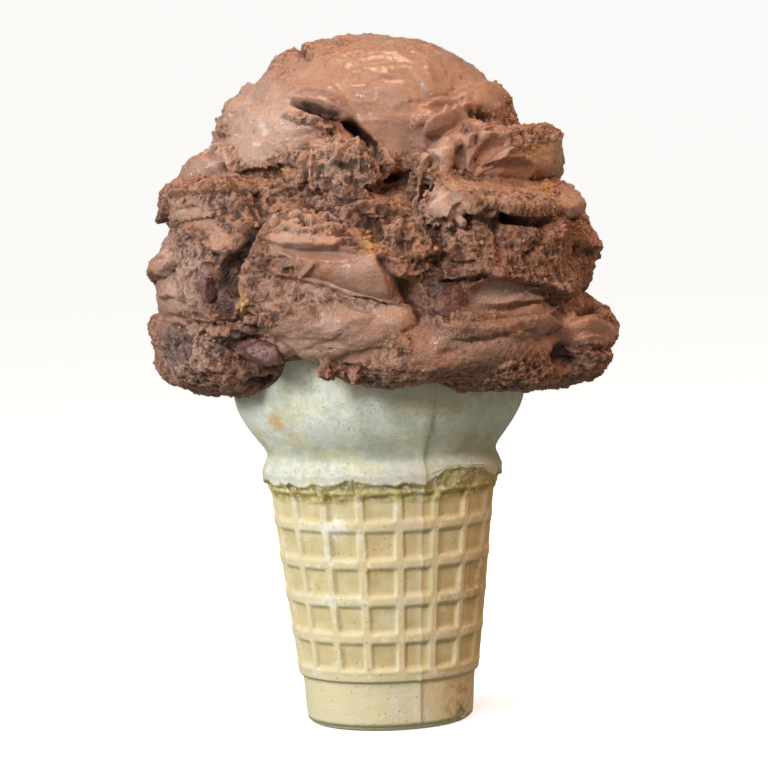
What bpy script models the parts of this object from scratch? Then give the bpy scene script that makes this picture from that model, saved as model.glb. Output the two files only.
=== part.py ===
"""Two scoops of fudge-flecked chocolate ice cream in a flat-bottomed waffle-patterned cake cone.

Frame: metres, +Z up, the middle of the flat base at the origin, the front of the scoops towards -Y.
All the sizes below are in millimetres and in degrees.
"""

import math
import random

import bmesh
import bpy
from mathutils import Euler, Matrix, Vector, noise
from mathutils.bvhtree import BVHTree

MM = 0.001

# ---- the cake cone
CUP_HEIGHT = 80.0
WALL = 2.0
FLOOR = 2.6
RIB_COUNT = 18
FIRST_RIB = -82.0
RIB_HALF_ANGLE = 2.1
CELL_ROWS = 5
CELL_FOOT = 12.8
CELL_PITCH = 7.7
CELL_HEIGHT = 5.8
CELL_DEPTH = 0.7
CELL_BEVEL = 0.45
COLLAR_EDGE = 51.0
# outer radius at each height, from the rim down to the foot
CUP_OUTSIDE = [
    (80.0, 31.0),
    (74.0, 30.9),
    (69.5, 30.5),
    (66.0, 29.7),
    (63.0, 28.2),
    (60.2, 26.3),
    (57.8, 24.5),
    (56.2, 23.9),
    (54.4, 24.6),
    (52.8, 25.1),
    (COLLAR_EDGE, 24.9),
    (COLLAR_EDGE - 0.5, 23.6),
]
BODY_TOP = (49.9, 23.5)
BODY_FOOT = (11.6, 19.0)
CUP_FOOT = [
    (10.4, 18.7),
    (9.7, 18.05),
    (1.4, 17.3),
    (0.0, 16.2),
]
# inner radius at each height, from the floor up to the rim
CUP_INSIDE = [
    (FLOOR, 15.2),
    (48.0, 21.1),
    (54.0, 21.8),
    (57.5, 22.5),
    (61.0, 25.0),
    (65.5, 27.5),
    (72.0, 28.7),
    (80.0, 29.4),
]
CHIP_ANGLE = 57.0
CHIP_SIZE = (3.2, 2.6, 3.0)

# ---- the ice cream
GAP = 0.3
VOXEL = 0.9
LOWER_FACES = 3560
UPPER_FACES = 1620
# Each lobe: name, angle round from the front, height, reach of its face from the axis,
# half sizes (across, deep, high), turn (roll, lean back, twist), squareness, taper.
LOWER_LOBES = [
    ("core", 0, 94.0, 0, (41.4, 40.6, 19.0), (0, 0, 0), 3.3, 0),
    ("front_left_apron", -12, 83.9, 44.5, (18.1, 14, 7.3), (-3, -8, 0), 2.5, 0),
    ("front_lip", -1, 79.4, 43.0, (12.0, 14, 5.4), (0, -12, 0), 2.4, 0),
    ("porous_layer", -17, 87.6, 46.2, (13.4, 10, 4.2), (-6, -26, 0), 3.2, 0),
    ("smooth_slab", -9, 96.4, 44.4, (16.4, 12, 5.6), (-16, 10, 0), 3.4, 0.25),
    ("crumb_ledge", -20, 102.8, 42.2, (13.7, 12, 4.7), (-6, -30, 0), 3.4, 0),
    ("centre_wedge", -2, 105.0, 39.8, (7.8, 12, 4.6), (-12, 10, 0), 3.4, 0.2),
    ("centre_crumbs", 10, 97.2, 43.2, (9.4, 14, 7.4), (8, 6, 0), 2.8, 0),
    ("ridged_knob", 19.5, 104.9, 44.8, (4.8, 7, 4.4), (-10, 12, 0), 2.4, 0),
    ("right_plate", 45, 109.8, 46.4, (19.5, 9, 2.3), (-3, -32, 0), 4.0, 0),
    ("right_face", 56, 95.0, 43.2, (26, 20, 9.0), (0, 2, 0), 4.5, 0),
    ("right_shelf", 36, 88.6, 46.8, (18.2, 14, 4.4), (2, -26, 0), 3.2, 0),
    ("right_apron", 24, 80.2, 45.5, (21.2, 16, 7.4), (6, -8, 0), 2.5, 0),
    ("right_low_lip", 47, 76.9, 45.5, (15, 16, 7.4), (0, -6, 0), 2.8, 0),
    ("right_tongue", 74, 79.1, 48.8, (17, 18, 9.6), (0, 0, 0), 3.2, 0),
    ("right_flank", 100, 97.0, 44.0, (20, 18, 12), (0, 2, 0), 3.4, 0),
    ("left_block", -56, 92.5, 46.0, (22, 18, 11.6), (0, 2, 0), 3.2, 0),
    ("left_flank", -92, 95.0, 44.4, (20, 18, 13), (0, 2, 0), 3.2, 0),
    ("low_left_knob", -74, 79.9, 46.4, (19, 18, 10.0), (0, 0, 0), 3.0, 0),
    ("low_left_lip", -53, 79.4, 45.0, (6.2, 16, 7.8), (0, -4, 0), 2.8, 0),
    ("up_left_chunk", -62, 106.5, 44.5, (20, 20, 6.6), (4, 8, 0), 3.2, 0),
]
UPPER_LOBES = [
    ("dome", 2, 118.0, 0, (29.0, 28.5, 24.4), (0, 0, 0), 2.25, 0),
    ("left_slab", -37, 120.6, 32.6, (14.5, 12, 8.6), (26, 20, 0), 2.8, 0),
    ("left_cheek", -86, 123.0, 31.4, (13, 12, 7.2), (10, 6, 0), 2.6, 0),
    ("left_shoulder", -78, 108.6, 41.3, (18, 16, 7.0), (24, 26, 0), 2.6, 0),
    ("torn_lump", -13, 114.4, 36.6, (11.5, 10, 6.4), (-10, 6, 0), 2.8, 0),
    ("right_shoulder", 62, 122.5, 31.0, (14, 14, 9.5), (0, 8, 0), 2.8, 0),
    ("right_block", 60, 116.0, 38.8, (18, 12, 6.4), (0, 4, 0), 4.0, 0),
    ("shoulder_roll", 26, 122.9, 33.0, (4.6, 5, 3.0), (-18, 10, 0), 2.4, 0),
    ("petal_left", 13.5, 110.8, 38.8, (7.0, 3.5, 1.5), (72, 0, 18), 2.6, 0),
    ("petal_right", 23, 114.1, 38.2, (6.4, 4.0, 2.5), (66, 4, -8), 2.6, 0),
    ("scoop_step", 36, 119.4, 37.8, (6.0, 6, 3.4), (24, 2, 0), 3.0, 0),
    ("low_step", 43, 114.4, 39.8, (9.5, 6, 3.4), (-6, 4, 0), 3.0, 0),
]
# The tiers of lobes that carry the same heap round its back: height, reach, half height, how many.
BACK_TIERS = [
    ("lower", 78.5, 46.0, 8.4, 5),
    ("lower", 91.5, 45.0, 7.6, 4),
    ("lower", 104.0, 43.0, 6.8, 5),
    ("upper", 114.5, 38.0, 7.0, 4),
    ("upper", 125.0, 29.5, 7.5, 3),
]
BACK_FROM = 118.0
BACK_TO = 246.0
BACK_SEED = 7
# Each fold: scoop, name, kind, points (across, up) as seen from VIEW in front, and its sizes.
# ledge: rise, how far it fades upwards, cut, how far it fades downwards. crack: depth, width.
VIEW = Vector((1.0, -600.0, 105.0))
FOLDS = [
    ("upper", "eye_lip", "ledge",
        [(-17.7, 128.7), (-15.1, 130.9), (-8.1, 130.4), (-3.2, 125.7)], (1.3, 1.6, 0.0, 1.2)),
    ("upper", "eye", "crack", [(-16.4, 129.7), (-9.8, 127.2), (-4.1, 125.5)], (4.6, 1.6)),
    ("upper", "tear", "crack", [(-5.5, 125.4), (-0.5, 120.2), (3.4, 112.6)], (6.5, 1.8)),
    ("upper", "layer", "ledge", [(-22.2, 128.8), (-26.4, 128.6), (-30.2, 127.5)], (1.6, 3.5, 1.3, 2.5)),
    ("upper", "slab_foot", "ledge", [(-29.0, 114.2), (-25.2, 115.7), (-12.8, 115.2)], (1.3, 3.0, 2.0, 2.2)),
    ("upper", "petal_fold", "crack", [(12.2, 116.5), (10.8, 111.5), (9.2, 107.0)], (1.8, 1.6)),
    ("upper", "scoop_a", "crack", [(21.7, 114.5), (24.5, 117.3), (27.5, 120.1)], (2.4, 2.4)),
    ("upper", "scoop_b", "crack", [(22.5, 112.4), (27.9, 113.6), (34.2, 113.2)], (2.4, 2.2)),
    ("lower", "waist_left", "crack", [(-29.9, 112.3), (-26.8, 113.2), (-22.5, 109.4)], (3.2, 2.0)),
    ("lower", "plate_lip", "ledge", [(25.2, 105.4), (31.0, 104.2), (37.4, 103.3)], (1.4, 2.4, 1.6, 1.6)),
    ("lower", "plate_slit", "crack", [(25.2, 104.8), (30.9, 103.6), (37.4, 102.9)], (3.6, 1.6)),
    ("lower", "block_foot", "ledge",
        [(10.3, 91.6), (22.9, 92.0), (36.7, 89.0), (41.2, 85.7)], (0.9, 3.0, 2.0, 2.6)),
    ("lower", "roll", "ledge",
        [(42.2, 77.5), (34.1, 83.7), (20.7, 82.0), (11.1, 83.6)], (1.8, 5.0, 2.0, 2.2)),
    ("lower", "right_lip", "ledge", [(48.6, 75.6), (44.2, 75.4), (38.0, 76.9)], (1.6, 2.6, 2.0, 2.2)),
    ("lower", "knife", "ledge", [(8.3, 81.6), (5.4, 87.6), (2.3, 92.7), (-0.5, 98.2)], (2.9, 6.0, 3.1, 2.6)),
    ("lower", "slab_edge", "ledge",
        [(-22.3, 94.0), (-15.7, 92.7), (-2.9, 88.3), (5.8, 86.5)], (1.7, 6.0, 2.2, 2.4)),
    ("lower", "slab_smile", "ledge", [(-13.2, 96.4), (-18.3, 93.8), (-21.0, 95.0)], (1.0, 1.8, 1.0, 1.6)),
    ("lower", "brow", "ledge",
        [(-25.7, 102.8), (-20.6, 100.4), (-8.1, 99.1), (-4.9, 100.9)], (1.6, 3.5, 1.8, 2.2)),
    ("lower", "gully", "crack", [(-22.2, 108.3), (-27.5, 100.0), (-30.7, 90.9), (-28.8, 86.7)], (4.5, 2.6)),
    ("lower", "wedge_left", "ledge", [(-39.8, 103.9), (-35.6, 100.5), (-30.9, 97.6)], (2.0, 3.2, 2.0, 2.2)),
    ("lower", "knob_top", "ledge",
        [(-26.4, 84.9), (-31.5, 82.6), (-37.7, 83.7), (-45.1, 85.2)], (1.2, 3.0, 1.7, 2.2)),
]
BACK_FOLDS = 14
SWELL = (0.9, 11.0)
GRAIN = (0.55, 3.4)
# Fudge chunks: name, where each is seen from VIEW (across, up), how deep its middle is sunk,
# half sizes (across, deep, high), turn.
CHUNKS = [
    ("fudge_chunk_left", (-34.8, 93.0), 0.9, (3.0, 2.8, 4.0), (8, 10, -12)),
    ("fudge_chunk_middle", (14.9, 87.0), 1.2, (3.8, 2.8, 3.0), (-22, 6, 8)),
    ("fudge_chunk_low", (-24.1, 77.9), 1.0, (5.4, 2.6, 2.0), (14, -6, 0)),
]


def clear_scene():
    for obj in list(bpy.data.objects):
        bpy.data.objects.remove(obj, do_unlink=True)
    for group in list(bpy.data.collections):
        bpy.data.collections.remove(group)


def new_group(name, hidden=False):
    group = bpy.data.collections.new(name)
    bpy.context.scene.collection.children.link(group)
    group.hide_render = hidden
    return group


def principled(name, colour, roughness, subsurface=0.0):
    mat = bpy.data.materials.new(name)
    mat.use_nodes = True
    shader = mat.node_tree.nodes["Principled BSDF"]
    shader.inputs["Base Color"].default_value = (*colour, 1.0)
    shader.inputs["Roughness"].default_value = roughness
    shader.inputs["Subsurface Weight"].default_value = subsurface
    shader.inputs["Subsurface Scale"].default_value = 0.002
    return mat


def new_object(name, bm, group, mat=None):
    mesh = bpy.data.meshes.new(name)
    bm.to_mesh(mesh)
    bm.free()
    if mat:
        mesh.materials.append(mat)
    obj = bpy.data.objects.new(name, mesh)
    group.objects.link(obj)
    return obj


def bake(obj):
    """Replace the mesh with what its modifiers make of it."""
    graph = bpy.context.evaluated_depsgraph_get()
    made = bpy.data.meshes.new_from_object(obj.evaluated_get(graph))
    obj.modifiers.clear()
    obj.data = made


def carve(obj, cutter):
    cut = obj.modifiers.new("cut_" + cutter.name, "BOOLEAN")
    cut.operation = "DIFFERENCE"
    cut.solver = "EXACT"
    cut.object = cutter
    bake(obj)


def keep_largest(obj):
    """Drop the crumbs that a cut can leave loose, and close up doubled points."""
    bm = bmesh.new()
    bm.from_mesh(obj.data)
    bmesh.ops.remove_doubles(bm, verts=bm.verts, dist=0.00002)
    bmesh.ops.dissolve_degenerate(bm, edges=bm.edges, dist=0.00002)
    seen = set()
    islands = []
    for start in bm.verts:
        if start in seen:
            continue
        stack = [start]
        seen.add(start)
        island = []
        while stack:
            vert = stack.pop()
            island.append(vert)
            for edge in vert.link_edges:
                other = edge.other_vert(vert)
                if other not in seen:
                    seen.add(other)
                    stack.append(other)
        islands.append(island)
    islands.sort(key=len)
    for island in islands[:-1]:
        bmesh.ops.delete(bm, geom=island, context="VERTS")
    bmesh.ops.recalc_face_normals(bm, faces=bm.faces)
    bm.to_mesh(obj.data)
    bm.free()


def join_flat_faces(obj, degrees):
    bm = bmesh.new()
    bm.from_mesh(obj.data)
    bmesh.ops.dissolve_limit(bm, angle_limit=math.radians(degrees), verts=bm.verts, edges=bm.edges)
    bmesh.ops.triangulate(bm, faces=bm.faces)
    bm.to_mesh(obj.data)
    bm.free()


def shade_smooth(obj):
    for face in obj.data.polygons:
        face.use_smooth = True


# ---------------------------------------------------------------- the cake cone


def body_radius(z):
    share = (z - BODY_FOOT[0]) / (BODY_TOP[0] - BODY_FOOT[0])
    return BODY_FOOT[1] + share * (BODY_TOP[1] - BODY_FOOT[1])


def ragged(angle, z):
    """The collar's lower edge rises and falls a little on its way round."""
    if abs(z - COLLAR_EDGE) > 0.6:
        return z
    a = math.radians(angle)
    return z + 0.3 * math.sin(5 * a + 0.6) + 0.25 * math.sin(11 * a + 2.0)


def cup_profile():
    """The cup's section, as (height, radius): from the floor up the inside and down the outside."""
    points = [(FLOOR, 0.0)] + CUP_INSIDE + CUP_OUTSIDE + [BODY_TOP]
    for k in reversed(range(CELL_ROWS)):
        low = CELL_FOOT + k * CELL_PITCH
        high = low + CELL_HEIGHT - (0.1 if k == CELL_ROWS - 1 else 0.0)
        points.append((high, body_radius(high)))
        points.append((low, body_radius(low)))
    return points + [BODY_FOOT] + CUP_FOOT + [(0.0, 0.0)]


def turned(name, profile, steps, closed, group, mat=None):
    """A section of (height, radius) points turned once round the cone's axis."""
    bm = bmesh.new()
    verts = [bm.verts.new(Vector((radius, 0.0, z)) * MM) for z, radius in profile]
    for start, end in zip(verts, verts[1:]):
        bm.edges.new((start, end))
    if closed:
        bm.edges.new((verts[-1], verts[0]))
    obj = new_object(name, bm, group, mat)
    screw = obj.modifiers.new("turn", "SCREW")
    screw.steps = steps
    screw.render_steps = steps
    screw.use_merge_vertices = True
    screw.merge_threshold = 0.00001
    bake(obj)
    bm = bmesh.new()
    bm.from_mesh(obj.data)
    bmesh.ops.remove_doubles(bm, verts=bm.verts, dist=0.00001)
    bmesh.ops.recalc_face_normals(bm, faces=bm.faces)
    bmesh.ops.rotate(bm, verts=bm.verts, matrix=Matrix.Rotation(math.radians(FIRST_RIB), 3, "Z"))
    bm.to_mesh(obj.data)
    bm.free()
    return obj


def spread_ribs(bm):
    """Draw the evenly turned columns together in pairs, so that they bound narrow ribs and wide cells."""
    pitch = 360.0 / RIB_COUNT
    for vert in bm.verts:
        radius = math.hypot(vert.co.x, vert.co.y)
        if radius < 0.1 * MM:
            continue
        angle = math.degrees(math.atan2(vert.co.y, vert.co.x)) - FIRST_RIB
        column = round(angle / (pitch / 2))
        rib = column // 2
        edge = -RIB_HALF_ANGLE if column % 2 == 0 else RIB_HALF_ANGLE
        a = math.radians(FIRST_RIB + rib * pitch + edge)
        vert.co.x = radius * math.cos(a)
        vert.co.y = radius * math.sin(a)
        vert.co.z = ragged(math.degrees(a), vert.co.z / MM) * MM


def cell_faces(bm):
    """The wide faces of the wall that lie in a row of cells."""
    found = []
    for face in bm.faces:
        heights = [vert.co.z / MM for vert in face.verts]
        middle = face.calc_center_median()
        out = Vector((middle.x, middle.y, 0.0))
        if out.length < 17 * MM or face.normal.dot(out) < 0 or len(face.verts) != 4:
            continue
        wide = max(edge.calc_length() for edge in face.edges if abs(edge.verts[0].co.z - edge.verts[1].co.z) < MM)
        for k in range(CELL_ROWS):
            low = CELL_FOOT + k * CELL_PITCH
            inside_row = abs(min(heights) - low) < 0.2 and max(heights) - low < CELL_HEIGHT + 0.2
            if inside_row and wide > 3.2 * MM:
                found.append(face)
    return found


def press_cell(bm, face):
    """Sink one waffle cell, with sloping sides, into the wall."""
    out = face.calc_center_median()
    out.z = 0.0
    out.normalize()
    bmesh.ops.inset_region(bm, faces=[face], thickness=CELL_BEVEL * MM, use_even_offset=True)
    for vert in face.verts:
        vert.co -= out * CELL_DEPTH * MM


def wafer_cup(group, cutters, mat):
    cup = turned("wafer_cup", cup_profile(), RIB_COUNT * 2, False, group, mat)
    bm = bmesh.new()
    bm.from_mesh(cup.data)
    spread_ribs(bm)
    bm.normal_update()
    for face in cell_faces(bm):
        press_cell(bm, face)
    bm.to_mesh(cup.data)
    bm.free()
    # the small chip broken out of the foot
    chip = bmesh.new()
    bmesh.ops.create_cube(chip, size=1.0)
    size = Matrix.Diagonal((*[s * MM for s in CHIP_SIZE], 1.0))
    lean = Euler((math.radians(24), math.radians(38), 0)).to_matrix().to_4x4()
    spin = Matrix.Rotation(math.radians(CHIP_ANGLE), 4, "Z")
    place = spin @ Matrix.Translation(Vector((0, -17.5, 1.5)) * MM) @ lean @ size
    bmesh.ops.transform(chip, matrix=place, verts=chip.verts)
    cutter = new_object("chip_cutter", chip, cutters)
    cutter.display_type = "WIRE"
    carve(cup, cutter)
    keep_largest(cup)
    shade_smooth(cup)
    return cup


def grown_shell(cutters):
    """The cup's wall, thicker by the gap on every side: what the ice cream leaves free."""
    profile = [(CUP_HEIGHT + GAP, 31.4)]
    profile += [(z, radius + GAP + 0.15) for z, radius in CUP_OUTSIDE if z < CUP_HEIGHT]
    profile += [(40.0, 25.0), (-1.0, 25.0), (-1.0, 3.0), (FLOOR + GAP, 3.0), (FLOOR + GAP, 14.9)]
    profile += [(z, radius - GAP) for z, radius in CUP_INSIDE[1:-1]]
    profile.append((CUP_HEIGHT + GAP, 29.0))
    shell = turned("shell_cutter", profile, RIB_COUNT, True, cutters)
    shell.display_type = "WIRE"
    return shell


def floor_block(cutters):
    """Trims the filling over the middle of the floor, where the wall's section stops short."""
    bm = bmesh.new()
    made = bmesh.ops.create_cone(
        bm, cap_ends=True, segments=32, radius1=6 * MM, radius2=6 * MM, depth=8 * MM
    )
    bmesh.ops.translate(bm, verts=made["verts"], vec=Vector((0, 0, FLOOR + GAP - 4.0)) * MM)
    block = new_object("floor_cutter", bm, cutters)
    block.display_type = "WIRE"
    return block


# ---------------------------------------------------------------- the ice cream


def add_lobe(bm, row, detail=4):
    _, angle, z, reach, size, (roll, lean, twist), power, taper = row
    made = bmesh.ops.create_icosphere(bm, subdivisions=detail, radius=1.0)
    rad = math.radians
    spin = Matrix.Rotation(rad(angle), 4, "Z")
    turn = Matrix.Rotation(rad(twist), 4, "Z")
    turn = turn @ Matrix.Rotation(rad(-lean), 4, "X") @ Matrix.Rotation(rad(-roll), 4, "Y")
    out = -(reach - size[1]) if reach else 0.0
    place = spin @ Matrix.Translation(Vector((0, out, z)) * MM) @ turn
    place = place @ Matrix.Diagonal((size[0] * MM, size[1] * MM, size[2] * MM, 1.0))
    for vert in made["verts"]:
        c = vert.co
        norm = (abs(c.x) ** power + abs(c.y) ** power + abs(c.z) ** power) ** (1.0 / power)
        c = c / norm
        c.z *= 1.0 - taper * c.x
        vert.co = place @ c


def back_lobes(scoop):
    rng = random.Random(BACK_SEED + len(scoop))
    rows = []
    for which, z, reach, high, count in BACK_TIERS:
        pitch = (BACK_TO - BACK_FROM) / count
        for k in range(count):
            angle = BACK_FROM + (k + 0.5) * pitch + rng.uniform(-6, 6)
            across = reach * math.radians(pitch) * rng.uniform(0.55, 0.72)
            size = (across, 15.0, high * rng.uniform(0.85, 1.1))
            turn = (rng.uniform(-14, 14), rng.uniform(-4, 10), 0)
            power = rng.uniform(2.5, 3.8)
            spread = rng.uniform(-1.2, 1.0)
            taper = rng.uniform(0.0, 0.25)
            if which == scoop:
                name = f"back_{which}_{len(rows)}"
                rows.append((name, angle, z + spread, reach + spread, size, turn, power, taper))
    return rows


def fuse(name, rows, extra, group):
    bm = bmesh.new()
    for row in rows:
        add_lobe(bm, row)
    for radius1, radius2, low, high in extra:
        made = bmesh.ops.create_cone(
            bm, cap_ends=True, segments=48, radius1=radius1 * MM, radius2=radius2 * MM, depth=(high - low) * MM
        )
        bmesh.ops.translate(bm, verts=made["verts"], vec=Vector((0, 0, (low + high) / 2)) * MM)
    obj = new_object(name, bm, group)
    melt = obj.modifiers.new("fuse", "REMESH")
    melt.mode = "VOXEL"
    melt.voxel_size = VOXEL * MM
    bake(obj)
    relax = obj.modifiers.new("relax", "SMOOTH")
    relax.factor = 0.5
    relax.iterations = 2
    bake(obj)
    return obj


def ramp(low, high, x):
    t = min(1.0, max(0.0, (x - low) / (high - low)))
    return t * t * (3.0 - 2.0 * t)


class Skin:
    """The surface of the fused lobes, for laying fold lines over it."""

    def __init__(self, objects):
        points = []
        faces = []
        for obj in objects:
            base = len(points)
            points.extend(vert.co / MM for vert in obj.data.vertices)
            faces.extend([base + i for i in face.vertices] for face in obj.data.polygons)
        self.tree = BVHTree.FromPolygons(points, faces)

    def seen(self, x, z, around):
        turn = Matrix.Rotation(math.radians(around), 4, "Z")
        eye = turn @ VIEW
        aim = turn @ Vector((x, 0.0, z))
        hit = self.tree.ray_cast(eye, (aim - eye).normalized())
        if hit[0] is None:
            hit = self.tree.find_nearest(aim)
        return hit[0], hit[1]

    def line(self, points, around, steps=5):
        """A line over the skin through the given points, as (place, outward normal) pairs."""
        made = []
        for (x0, z0), (x1, z1) in zip(points, points[1:]):
            for k in range(steps):
                t = k / steps
                made.append(self.seen(x0 + (x1 - x0) * t, z0 + (z1 - z0) * t, around))
        made.append(self.seen(*points[-1], around))
        return made


def back_folds(scoop):
    rng = random.Random(BACK_SEED * 3 + len(scoop))
    made = []
    low, high = (77.0, 106.0) if scoop == "lower" else (110.0, 128.0)
    for k in range(BACK_FOLDS):
        around = 90.0 + 180.0 * (k + 0.5) / BACK_FOLDS
        z = low + (high - low) * ((k * 0.618) % 1.0)
        x = rng.uniform(-10, 10)
        half = rng.uniform(6, 12)
        slope = rng.uniform(-5, 5)
        bow = rng.uniform(-2, 2)
        points = [(x - half, z - slope), (x, z + bow), (x + half, z + slope)]
        if rng.random() < 0.5:
            points.reverse()
        sizes = (rng.uniform(0.9, 1.6), 4.0, rng.uniform(1.0, 2.2), rng.uniform(2.2, 3.4))
        made.append((scoop, f"back_fold_{k}", "ledge", points, sizes, around))
    return made


def fold_push(kind, sizes, side, fade):
    if kind == "crack":
        depth, width = sizes
        return -depth * math.exp(-((side / width) ** 2)) * fade
    rise, up, cut, down = sizes
    above = rise * math.exp(-max(side, 0.0) / up)
    below = -cut * math.exp(-max(-side, 0.0) / down)
    step = ramp(-0.6, 0.6, side)
    return (above * step + below * (1.0 - step)) * fade


def press_folds(obj, folds, skin):
    """Push the skin out above each fold line and in below it, fading with distance."""
    verts = obj.data.vertices
    push = [0.0] * len(verts)
    places = [vert.co / MM for vert in verts]
    facing = [vert.normal.copy() for vert in verts]
    for fold in folds:
        _, _, kind, points, sizes = fold[:5]
        around = fold[5] if len(fold) > 5 else 0.0
        line = skin.line(points, around)
        reach = 2.6 * max(sizes[1], sizes[-1])
        low = [min(p[0][i] for p in line) - reach for i in range(3)]
        high = [max(p[0][i] for p in line) + reach for i in range(3)]
        last = len(line) - 1
        for index, place in enumerate(places):
            if any(place[i] < low[i] or place[i] > high[i] for i in range(3)):
                continue
            best = None
            for k in range(last):
                start, normal = line[k]
                along = line[k + 1][0] - start
                length = along.length
                if length < 1e-4:
                    continue
                along = along / length
                offset = place - start
                t = min(max(offset.dot(along), 0.0), length)
                across = offset - along * t
                if best is None or across.length < best[0]:
                    sign = 1.0 if across.dot(normal.cross(along)) >= 0 else -1.0
                    best = (across.length, sign, (k + t / length) / last, normal)
            if best is None or best[0] > reach or facing[index].dot(best[3]) < -0.2:
                continue
            fade = ramp(0.0, 0.15, best[2]) * ramp(0.0, 0.15, 1.0 - best[2])
            push[index] += fold_push(kind, sizes, best[0] * best[1], fade)
    for index, place in enumerate(places):
        swell = SWELL[0] * noise.noise(place / SWELL[1])
        grain = GRAIN[0] * noise.noise(place / GRAIN[1] + Vector((31.0, 7.0, 3.0)))
        verts[index].co += facing[index] * (push[index] + swell + grain) * MM


def settle(obj, faces):
    """Close the pressed skin up again and bring it down to its number of faces."""
    melt = obj.modifiers.new("close", "REMESH")
    melt.mode = "VOXEL"
    melt.voxel_size = VOXEL * MM
    bake(obj)
    keep_largest(obj)
    count = sum(len(face.vertices) - 2 for face in obj.data.polygons)
    # the finely folded front keeps more of its faces than the back and the filling
    front = obj.vertex_groups.new(name="front")
    for vert in obj.data.vertices:
        weight = ramp(0.0, 0.02, -vert.co.y) * ramp(0.068, 0.072, vert.co.z)
        front.add([vert.index], 1.0 - 0.55 * weight, "REPLACE")
    thin = obj.modifiers.new("thin", "DECIMATE")
    thin.ratio = faces / count
    thin.vertex_group = "front"
    thin.vertex_group_factor = 1.0
    bake(obj)
    obj.vertex_groups.clear()


def grown_copy(obj, cutters, by):
    mesh = obj.data.copy()
    normals = [vert.normal.copy() for vert in mesh.vertices]
    for vert, normal in zip(mesh.vertices, normals):
        vert.co += normal * by * MM
    grown = bpy.data.objects.new(obj.name + "_cutter", mesh)
    grown.display_type = "WIRE"
    cutters.objects.link(grown)
    return grown


def chunk_mesh(row, skin, more=0.0):
    _, seen_at, sunk, size, (roll, lean, twist) = row
    middle, outward = skin.seen(*seen_at, 0.0)
    middle = middle - outward * sunk
    facing = Vector((outward.x, outward.y, 0.0)).to_track_quat("-Y", "Z").to_matrix().to_4x4()
    bm = bmesh.new()
    made = bmesh.ops.create_icosphere(bm, subdivisions=2, radius=1.0)
    turn = Euler([math.radians(a) for a in (lean, roll, twist)]).to_matrix().to_4x4()
    place = Matrix.Translation(middle * MM) @ facing @ turn
    for vert in made["verts"]:
        c = vert.co
        norm = (abs(c.x) ** 3.2 + abs(c.y) ** 3.2 + abs(c.z) ** 3.2) ** (1 / 3.2)
        dent = 1.0 + 0.10 * noise.noise(c * 1.7 + Vector((*seen_at, 0.0)))
        c = c / norm * dent
        sized = Vector((c.x * (size[0] + more), c.y * (size[1] + more), c.z * (size[2] + more)))
        vert.co = place @ (sized * MM)
    return bm


def build():
    clear_scene()
    group = new_group("ice_cream_cone")
    cutters = new_group("cutters", hidden=True)
    wafer = principled("wafer", (0.72, 0.62, 0.40), 0.75)
    chocolate = principled("chocolate_ice_cream", (0.29, 0.145, 0.085), 0.5, 0.15)
    lighter = principled("chocolate_ice_cream_top", (0.34, 0.18, 0.11), 0.45, 0.15)
    fudge = principled("fudge", (0.10, 0.045, 0.03), 0.35)

    wafer_cup(group, cutters, wafer)

    upper = fuse("upper_scoop", UPPER_LOBES + back_lobes("upper"), [], group)
    # the ice cream that fills the cup, let into the wall by half of it before the wall is cut free
    plug = []
    for (z0, radius0), (z1, radius1) in zip(CUP_INSIDE, CUP_INSIDE[1:]):
        plug.append((radius0 + WALL / 2, radius1 + WALL / 2, z0 - 1.2, z1 + 0.6))
    lower = fuse("lower_scoop", LOWER_LOBES + back_lobes("lower"), plug, group)
    skin = Skin([upper, lower])
    press_folds(upper, [f for f in FOLDS if f[0] == "upper"] + back_folds("upper"), skin)
    press_folds(lower, [f for f in FOLDS if f[0] == "lower"] + back_folds("lower"), skin)
    settle(upper, UPPER_FACES)
    settle(lower, LOWER_FACES)

    carve(lower, grown_copy(upper, cutters, GAP + 0.1))
    carve(lower, grown_shell(cutters))
    carve(lower, floor_block(cutters))
    skin = Skin([upper, lower])
    for row in CHUNKS:
        socket = new_object(row[0] + "_cutter", chunk_mesh(row, skin, GAP + 0.1), cutters)
        socket.display_type = "WIRE"
        carve(lower, socket)
        chunk = new_object(row[0], chunk_mesh(row, skin), group, fudge)
        shade_smooth(chunk)
    keep_largest(lower)
    keep_largest(upper)
    join_flat_faces(lower, 1.5)
    for obj, mat in ((lower, chocolate), (upper, lighter)):
        obj.data.materials.clear()
        obj.data.materials.append(mat)
        shade_smooth(obj)


build()
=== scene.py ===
# %% [markdown]
# # Chocolate ice cream in a cake cone
# This file dresses a cake cone with two scoops of chocolate ice cream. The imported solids
# give the true sizes and places; here the same forms get their fine shape and finish: torn and
# porous ice cream, satin skins where the scoop slid over it, and a pale moulded wafer.
# Everything is in metres in the frame of the solids: the foot stands on the floor at the
# origin, Z is up and the front faces -Y. The tables below are in millimetres and degrees.

import math
import random

import bmesh
import bpy
import numpy as np
from mathutils import Euler, Matrix, Vector
from mathutils.bvhtree import BVHTree


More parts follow.
